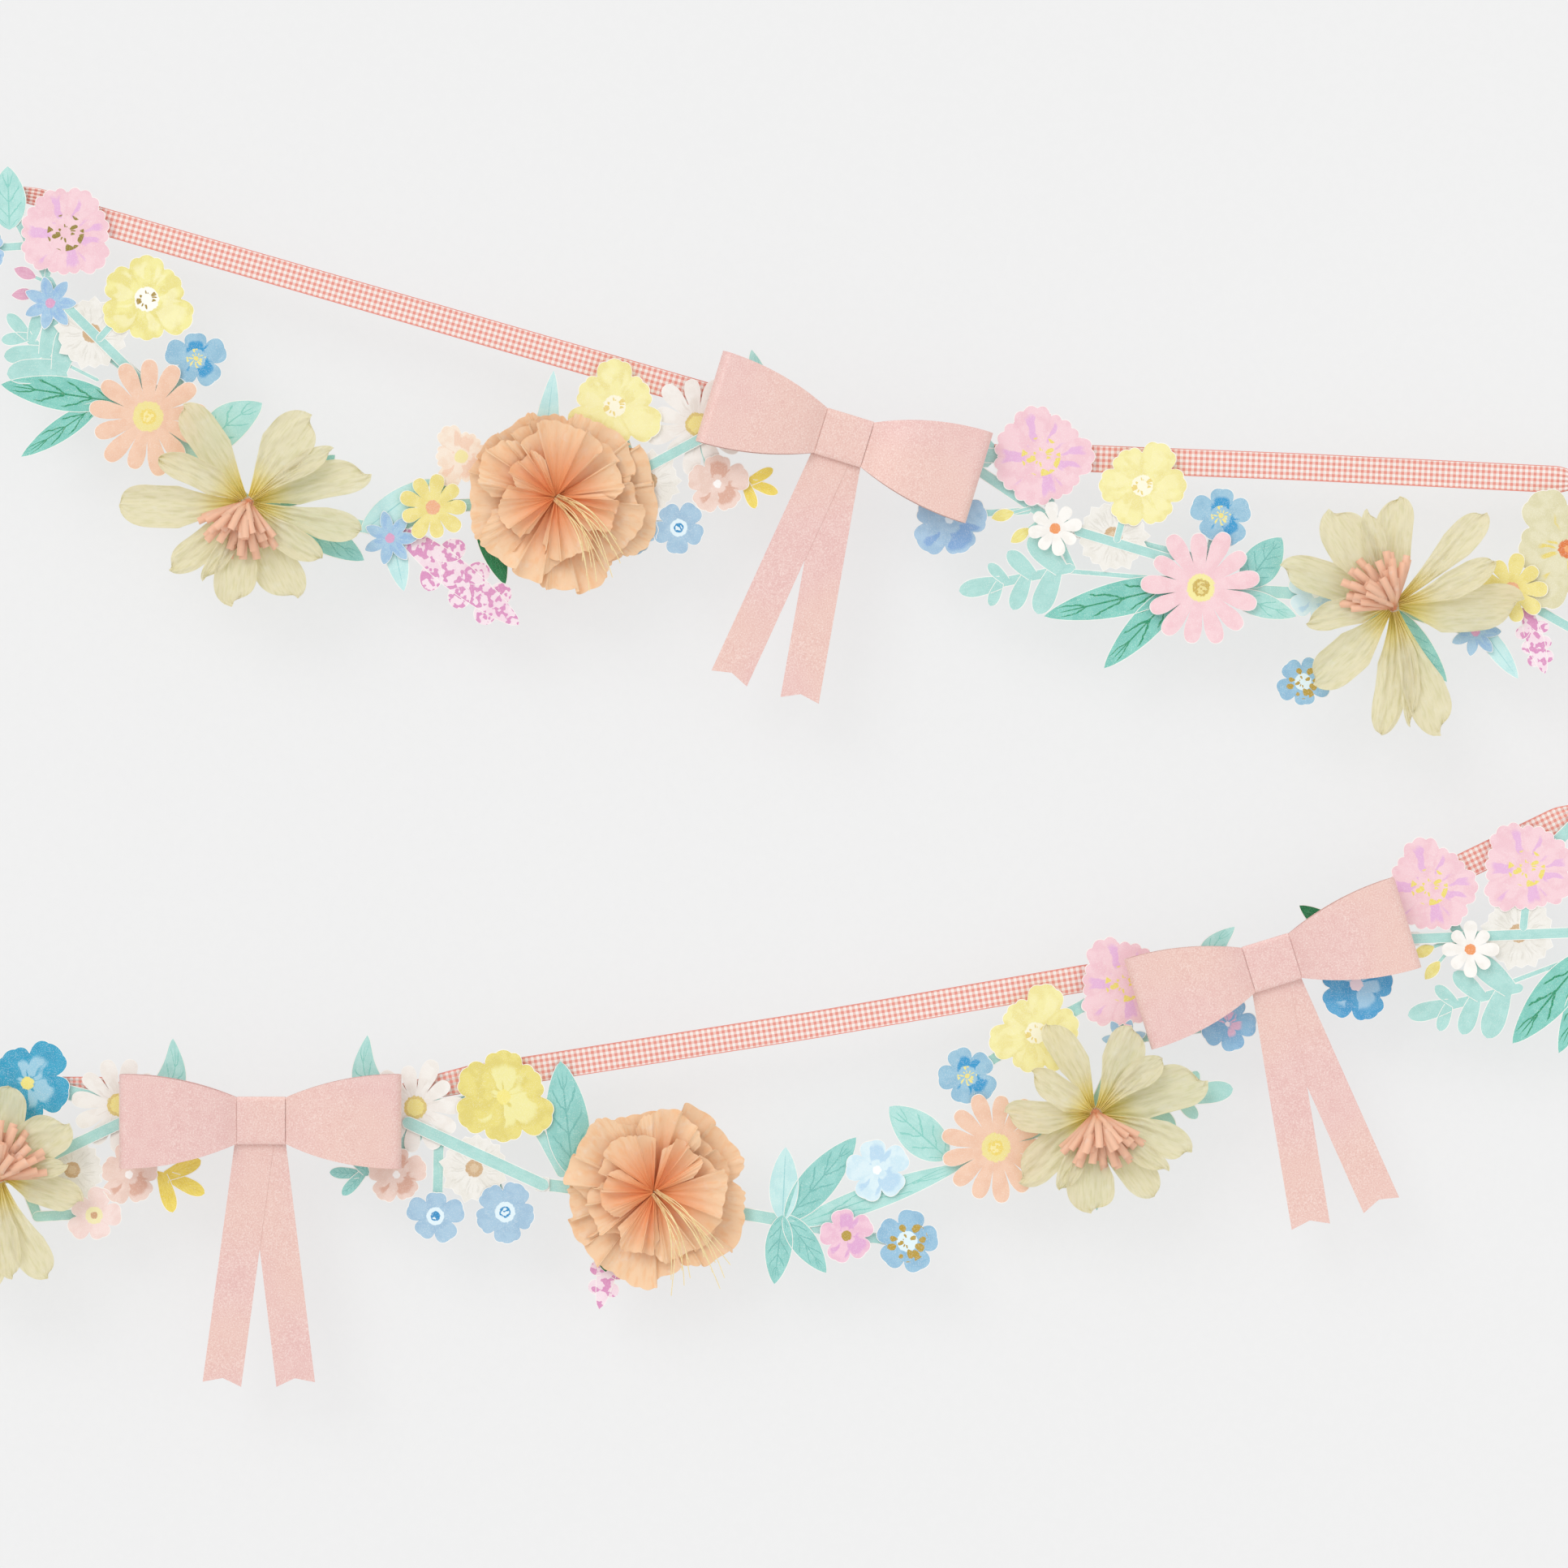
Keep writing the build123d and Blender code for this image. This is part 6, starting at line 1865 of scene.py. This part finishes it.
@dataclass(frozen=True)
class Fringe:
    """Fan of cut tissue strips that leans out of a lily's throat."""

    name: str
    turn: float
    strips: int = 60
    length: float = 29.0
    width: float = 4.4
    thickness: float = 0.15
    fan: float = 104.0
    seed: int = 4

    def make(self, place: tuple) -> bpy.types.Object:
        """Makes the strips with a geometry node group.

        Args:
            place: where they start from, in metres.

        Returns:
            The fringe.
        """
        group = Grown(self.name, [place], [])
        count = group.value("Strips", self.strips)
        length = group.value("Length", self.length * METRES)
        width = group.value("Width", self.width * METRES)
        seed = group.value("Seed", self.seed)
        curve = group.add("GeometryNodeCurvePrimitiveBezierSegment", {
            "Resolution": 10, "Start": (0, 0, 0), "Start Handle": (0.25, 0, 0.45),
            "End Handle": (0.6, 0, 0.75), "End": (1.0, 0, 0.62)}, mode="POSITION")
        scale = group.add("ShaderNodeCombineXYZ", {0: length, 1: length, 2: length})
        long_curve = group.add("GeometryNodeTransform", {0: curve, "Scale": scale})
        outline = group.add("GeometryNodeCurvePrimitiveQuadrilateral", {
            "Width": width, "Height": self.thickness * METRES})
        strips = group.add("GeometryNodeCurveToMesh", {0: long_curve, 1: outline, "Fill Caps": True})
        along = group.maths("DIVIDE", group.part(group.add("GeometryNodeInputPosition"), 0), length)
        petal = group.add("ShaderNodeCombineXYZ", {1: along})
        strips = group.add("GeometryNodeStoreNamedAttribute", {0: strips, "Name": "petal", 3: petal},
                           data_type="FLOAT2", domain="CORNER")
        points = group.add("GeometryNodeMeshLine", {"Count": count, "Offset": (0, 0, 0)})
        index = group.add("GeometryNodeInputIndex")
        step = group.maths("MULTIPLY", index, self.fan / self.strips)
        heading = group.maths("ADD", step, group.random(-9.0, 9.0, index, seed))
        radians = group.maths("RADIANS", group.maths("ADD", heading, self.turn - self.fan / 2))
        tilt = group.random(-0.55, 0.35, index, self.seed + 1)
        spin = group.add("ShaderNodeCombineXYZ", {0: 0.0, 1: tilt, 2: radians})
        size = group.random(0.62, 1.0, index, self.seed + 2)
        copies = group.add("GeometryNodeInstanceOnPoints", {
            "Points": points, "Instance": strips, "Rotation": spin, "Scale": size})
        real = group.add("GeometryNodeRealizeInstances", {0: copies})
        stood = group.add("GeometryNodeTransform", {
            0: real, "Rotation": (math.pi / 2, 0, 0), "Translation": place})
        return group.applied(stood, "coral_tissue")


@dataclass(frozen=True)
class Carnation:
    """Ruffled tissue flower with gold threads."""

    swag: str
    level: float
    radius: float = 57.0
    paper: float = 0.15
    lift: float = 1.2
    top: float = 7.0
    bunches: int = 15
    spread: float = 46.0
    spiral: float = 137.5
    pleats: float = 3.0
    heart: float = 0.6
    fold: float = 1.6
    crease: float = 0.42
    crumple: float = 0.8
    curl: float = 2.4

    def make_ruffles(self) -> None:
        """Makes the gathered bunches in a spiral, steeper and a little shorter towards the front."""
        sheets = Sheets()
        for i in range(self.bunches):
            self.bunch(sheets, i, i / (self.bunches - 1))
        sheets.declare(self.swag + "_carnation", self.swag + "_swag", "peach_tissue", 80.0)

    def bunch(self, sheets: Sheets, i: int, share: float) -> None:
        """Adds one fan of tissue, pleated from the middle to its ragged edge.

        Args:
            sheets: the mesh being collected.
            i: the bunch's number.
            share: how far it is from the rearmost bunch (0) to the front one (1).
        """
        centre = at(*CARNATIONS_PX[self.swag])
        number = i + centre[0] * 0.013
        rows = np.linspace(0, 1, 25)[:, None]
        columns = np.linspace(-1, 1, 71)
        middle = math.radians(self.spiral * i + centre[0] + 12 * math.sin(number * 2.1))
        half = math.radians(self.spread * (1 - 0.3 * share + 0.16 * math.sin(number * 1.7)))
        reach = 1 - 0.42 * share ** 1.6
        size = self.radius * CARNATION_SIZES[self.swag] * reach * (0.9 + 0.09 * math.sin(number * 2.9))
        teeth = 0.022 * np.abs(np.sin(columns * 19 + number)) + 0.035 * np.sin(columns * 7 + number * 2)
        edge = 1 - 0.24 * np.abs(columns) ** 3.2 + teeth
        turn = math.pi * self.pleats * (columns + 0.16 * np.sin(columns * 4 + number)) + number
        lap = 0.34 / self.pleats * np.sin(turn) * np.minimum(rows * 2, 1)
        angle = middle + half * (columns - lap)
        out = self.heart + rows * (size - self.heart) * edge
        depth = self.fold * (1 + share)
        fold = depth * rows ** 0.8 * np.cos(turn + 0.6 * rows)
        crease = self.crease * np.arcsin(np.sin(columns * 29 + number + 1.2 * rows))
        crease = crease * (rows * (1.25 - rows)) ** 0.5
        crumple = self.crumple * rows * np.sin(columns * 5 + number + 4 * rows) * np.cos(rows * 7 + number)
        cone = (0.03 + 0.5 * share ** 1.3) * out * (1 - 0.45 * rows)
        curl = self.curl * rows ** 4 * np.sin(number * 1.3 + columns * 2.2)
        level = self.level + self.lift + self.top * share + depth * rows + cone
        level = level + fold + crease + crumple + curl
        place = triples(centre[0] + out * np.cos(angle), centre[1] + out * np.sin(angle), level)
        front, back = shell(place, self.paper)
        flat = pairs(out, columns * half * size * 0.6 + number * 37, out)
        petal = pairs(out, np.abs(columns), rows * reach)
        sheets.add(front, back, flat, petal, "peach_tissue", "peach_tissue")

    def make(self) -> None:
        """Makes the ruffles and the gold threads that hang over them."""
        self.make_ruffles()
        node = self.swag + "_gold_threads"
        threads = Threads(node, THREADS_PX[self.swag], self.level + self.lift + self.top)
        declare(threads.make(), self.swag + "_swag", node)


@dataclass(frozen=True)
class Threads:
    """Bundle of gold threads that arch out of a carnation and fan apart."""

    name: str
    ends_px: tuple
    throat: float
    count: int = 8
    samples: int = 26
    thickness: float = 0.5
    rise: float = 17.0
    spread: float = 2.2
    bow: float = 5.0
    wave: float = 0.8

    def make(self) -> bpy.types.Object:
        """Makes the threads with a geometry node group along their paths.

        Returns:
            The threads.
        """
        points: list = []
        edges: list = []
        for end, (x0, y0, x1, y1) in enumerate(self.ends_px):
            for i in range(self.count):
                self.path(points, edges, at(x0, y0), at(x1, y1), i + end * self.count)
        group = Grown(self.name, points, edges)
        radius = group.value("Radius", self.thickness / 2 * METRES)
        curve = group.add("GeometryNodeMeshToCurve", {0: group.start.outputs[0]})
        outline = group.add("GeometryNodeCurvePrimitiveCircle", {"Resolution": 8, "Radius": radius})
        tubes = group.add("GeometryNodeCurveToMesh", {0: curve, 1: outline, "Fill Caps": True})
        return group.applied(tubes, "gold_thread")

    def path(self, points: list, edges: list, start: Grid, end: Grid, number: int) -> None:
        """Adds one thread's path.

        Args:
            points: points of all paths, in metres.
            edges: pairs of neighbouring points.
            start: where the thread leaves the flower.
            end: where its bundle ends.
            number: which thread it is.
        """
        side = course(start, end)[2]
        spread = (number % self.count - (self.count - 1) / 2) * self.spread
        reach = 1.0 - 0.05 * ((number * 3) % self.count)
        edges.extend((len(points) + i, len(points) + i + 1) for i in range(self.samples - 1))
        for share in np.linspace(0, 1, self.samples):
            aside = spread * share ** 1.5 + self.bow * math.sin(math.pi * share)
            aside += math.sin(share * 5 + number)
            x, y = start + (end - start) * share * reach + side * aside
            arch = math.sin(math.pi * min(share / 0.6, 1) / 2) - 0.45 * max(share - 0.55, 0)
            level = self.throat + self.rise * arch + self.wave * math.sin(share * 9 + number)
            points.append((x * METRES, -level * METRES, y * METRES))


@dataclass(frozen=True)
class Spray:
    """Die-cut card spray: back layer with its tabs, front layer and daisies."""

    name: str
    swag: str
    level: float
    back_curl: float = 0.6
    front_curl: float = 0.9
    daisy_curls: Point = (0.8, 2.2)       # on the card, and on foam

    @property
    def front_level(self) -> float:
        """Level of the front layer's back."""
        return self.level + CARD + FOAM

    def tabs(self) -> list[Point]:
        """Tabs that this spray carries."""
        left, right = TABS_PX[self.swag]
        return {"a": [left], "b": [right]}.get(self.name[-1], [left, right])

    def tab(self, sheets: Sheets, end_px: Point) -> None:
        """Adds one hanging tab with its slot.

        Args:
            sheets: the mesh being collected.
            end_px: the tab's place on the picture.
        """
        left, right = (at(*end) for end in TABS_PX[self.swag])
        turn = math.atan2(right[1] - left[1], right[0] - left[0])
        drop = TAB_HEIGHT / 2 - TAB_RIM - GATHERED_WIDTH / 2 - TAB_SEAT
        rings = []
        for rim in (TAB_RIM, 0):
            length = TAB_LENGTH / 2 - rim
            height = TAB_HEIGHT / 2 - rim
            corners = [(length, height - TAB_CORNER), (length - TAB_CORNER, height),
                       (TAB_CORNER - length, height), (-length, height - TAB_CORNER)]
            corners += [(-x, -y) for x, y in corners]
            rings.append([turned(x, y - drop, turn, at(*end_px)) for x, y in corners])
        spots = np.array(rings)
        sheets.plate(spots, spots[..., 0] * 0, self.level, spots * 0.1, spots * 0, "mint_stem", True,
                     inset=False)

    def declare(self, sheets: Sheets, node: str, slot: str = "printed_card") -> None:
        """Makes one piece of the spray."""
        sheets.declare(node, self.swag + "_swag", slot)

    def make_back(self) -> None:
        """Makes the back layer."""
        sheets = Sheets()
        for end_px in self.tabs():
            self.tab(sheets, end_px)
        for i, row in enumerate(BACK_ROWS[self.name]):
            row.add_to(sheets, self.level + ROW_STEP * (i + 1), self.back_curl)
        self.declare(sheets, self.name + "_back")

    def make_front(self) -> None:
        """Makes the front layer, its frilly flowers under the rest."""
        sheets = Sheets()
        for i, row in enumerate(FRONT_ROWS[self.name]):
            level = self.front_level + ROW_STEP * i
            if isinstance(row, Shoot):
                row.add_to(sheets, level + OVERLAY, 0.0)
            elif row.kind == "frilly":
                row.add_to(sheets, level, OVERLAY)
            else:
                row.add_to(sheets, level + OVERLAY, self.front_curl)
        self.declare(sheets, self.name + "_front")

    def make_daisies(self) -> None:
        """Makes the daisies that stand on this spray."""
        for name, (head, spray, layers) in DAISIES.items():
            if spray == self.name:
                level = self.level + layers * (CARD + FOAM) if layers else self.level + CARD + ROW_STEP * 14
                sheets = Sheets()
                head.add_to(sheets, level, self.daisy_curls[bool(layers)])
                self.declare(sheets, name, "daisy_card")

    def make(self) -> None:
        """Makes the spray's pieces."""
        self.make_back()
        self.make_front()
        self.make_daisies()


@dataclass(frozen=True)
class Swag:
    """One swinging swag: its sprays, tissue flowers and foam pads."""

    name: str

    @property
    def sprays(self) -> list[Spray]:
        """Sprays from left to right, the second one on top."""
        return [Spray(spray, self.name, SPRAY_BACK + CARD * i) for i, spray in enumerate(SWAGS[self.name])]

    def make_foam(self) -> None:
        """Makes every foam pad of the swag."""
        pads = []
        for spray in self.sprays:
            bottom = spray.level + CARD
            pads += [(row.x, row.y, bottom, spray.front_level) for row in FRONT_ROWS[spray.name]]
            pads += [(head.x, head.y, bottom, spray.level + layers * (CARD + FOAM))
                     for head, owner, layers in DAISIES.values() if owner == spray.name and layers]
        if self.name in LILIES_PX:
            pads.append((*LILIES_PX[self.name][0], bottom, spray.front_level))
        if self.name in CARNATIONS_PX:
            pads.append((*CARNATIONS_PX[self.name], bottom, spray.front_level))
        sheets = Sheets()
        for x_px, y_px, bottom, top in pads:
            foam_block(sheets, at(x_px, y_px), (FOAM_SIDE, FOAM_SIDE), bottom, top)
        sheets.declare(self.name + "_foam", self.name + "_swag", "foam_pad")

    def make(self) -> None:
        """Makes the swag."""
        for spray in self.sprays:
            spray.make()
        tissue_level = self.sprays[-1].front_level
        if self.name in LILIES_PX:
            Lily(self.name, tissue_level).make()
        if self.name in CARNATIONS_PX:
            Carnation(self.name, tissue_level).make()
        self.make_foam()


@dataclass(frozen=True)
class Studio:
    """White wall, soft lights and the photograph's camera."""

    wall: str = "#f1f1f1"
    wall_mottle: str = "#efefef"
    wall_glow: str = "#f0f0f0"
    glow_share: float = 0.72
    sun_place: tuple = (-0.55, -1.0, 0.75)
    sun_strength: float = 0.7
    sun_spread: float = 32.0
    fill_place: tuple = (1.9, -2.2, -0.3)
    fill_size: float = 2.2
    fill_power: float = 3.0
    world_strength: float = 0.86

    def make_camera(self) -> None:
        """Makes the square-on camera."""
        data = bpy.data.cameras.new("camera")
        data.sensor_width = SENSOR
        data.lens = SENSOR * CAMERA_AWAY / (VIEW_WIDTH * METRES)
        data.clip_start = 0.05
        data.clip_end = 50.0
        camera = put_in("camera", data)
        camera.location = (CAMERA_CENTRE[0], -CAMERA_AWAY, CAMERA_CENTRE[1])
        camera.rotation_euler = (math.pi / 2, 0, 0)
        bpy.context.scene.camera = camera

    def make_wall(self) -> None:
        """Makes the wall, which can't be seen from behind."""
        half = WALL_SIDE / 2
        x, z = CAMERA_CENTRE
        mesh = bpy.data.meshes.new("wall")
        mesh.from_pydata([(x + right * half, WALL_BEHIND, z + up * half)
                          for right, up in ((-1, -1), (1, -1), (1, 1), (-1, 1))], [], [(0, 1, 2, 3)])
        tree = Tree("wall_paint")
        colour = tree.paint(self.wall, self.wall_mottle, tree.mask(tree.flecks(4.0), 0.4, 0.6))
        paint = tree.add("ShaderNodeBsdfPrincipled", {"Base Color": colour, "Roughness": 0.95,
                                                      "Specular IOR Level": 0.1})
        glow = tree.add("ShaderNodeEmission", {"Color": rgba(self.wall_glow), "Strength": 1.0})
        clear = tree.add("ShaderNodeBsdfTransparent")
        behind = tree.add("ShaderNodeNewGeometry", output="Backfacing")
        shader = tree.blend(behind, tree.blend(self.glow_share, paint, glow), clear)
        mesh.materials.append(tree.finish(shader))
        put_in("wall", mesh)

    def make_light(self, name: str, kind: str, power: float, aim: Grid) -> bpy.types.Object:
        """Makes one light that looks along a way.

        Args:
            name: the light's name.
            kind: its type.
            power: its power or strength.
            aim: the way it looks.

        Returns:
            The light.
        """
        data = bpy.data.lights.new(name, kind)
        data.energy = power
        light = put_in(name, data)
        light.rotation_euler = Vector(aim).to_track_quat("-Z", "Y").to_euler()
        return light

    def make_lights(self) -> None:
        """Makes a large distant window, which gives the paper its soft shading, and a fill light."""
        sun = self.make_light("window", "SUN", self.sun_strength, -np.array(self.sun_place))
        sun.data.angle = math.radians(self.sun_spread)
        middle = np.array([CAMERA_CENTRE[0], 0, CAMERA_CENTRE[1]])
        fill = self.make_light("fill", "AREA", self.fill_power, middle - np.array(self.fill_place))
        fill.data.size = self.fill_size
        fill.location = self.fill_place

    def make_world(self) -> None:
        """Makes the even white light all round."""
        world = bpy.data.worlds.new("world")
        world.use_nodes = True
        background = world.node_tree.nodes["Background"]
        background.inputs["Color"].default_value = (1.0, 1.0, 1.0, 1.0)
        background.inputs["Strength"].default_value = self.world_strength
        bpy.context.scene.world = world

    def make(self) -> None:
        """Makes the studio."""
        self.make_camera()
        self.make_wall()
        self.make_lights()
        self.make_world()
        bpy.context.scene.view_settings.view_transform = "Standard"


def main() -> None:
    """Builds the garland and its studio."""
    Studio().make()
    for name in STRANDS_PX:
        strand(name).make()
    side_ribbon().make()
    for name in LOOPS_PX:
        TiedLoop(name).make()
    for name in BOWS_PX:
        Bow(name).make()
    for name in SWAGS:
        Swag(name).make()


if __name__ == "__main__":
    main()
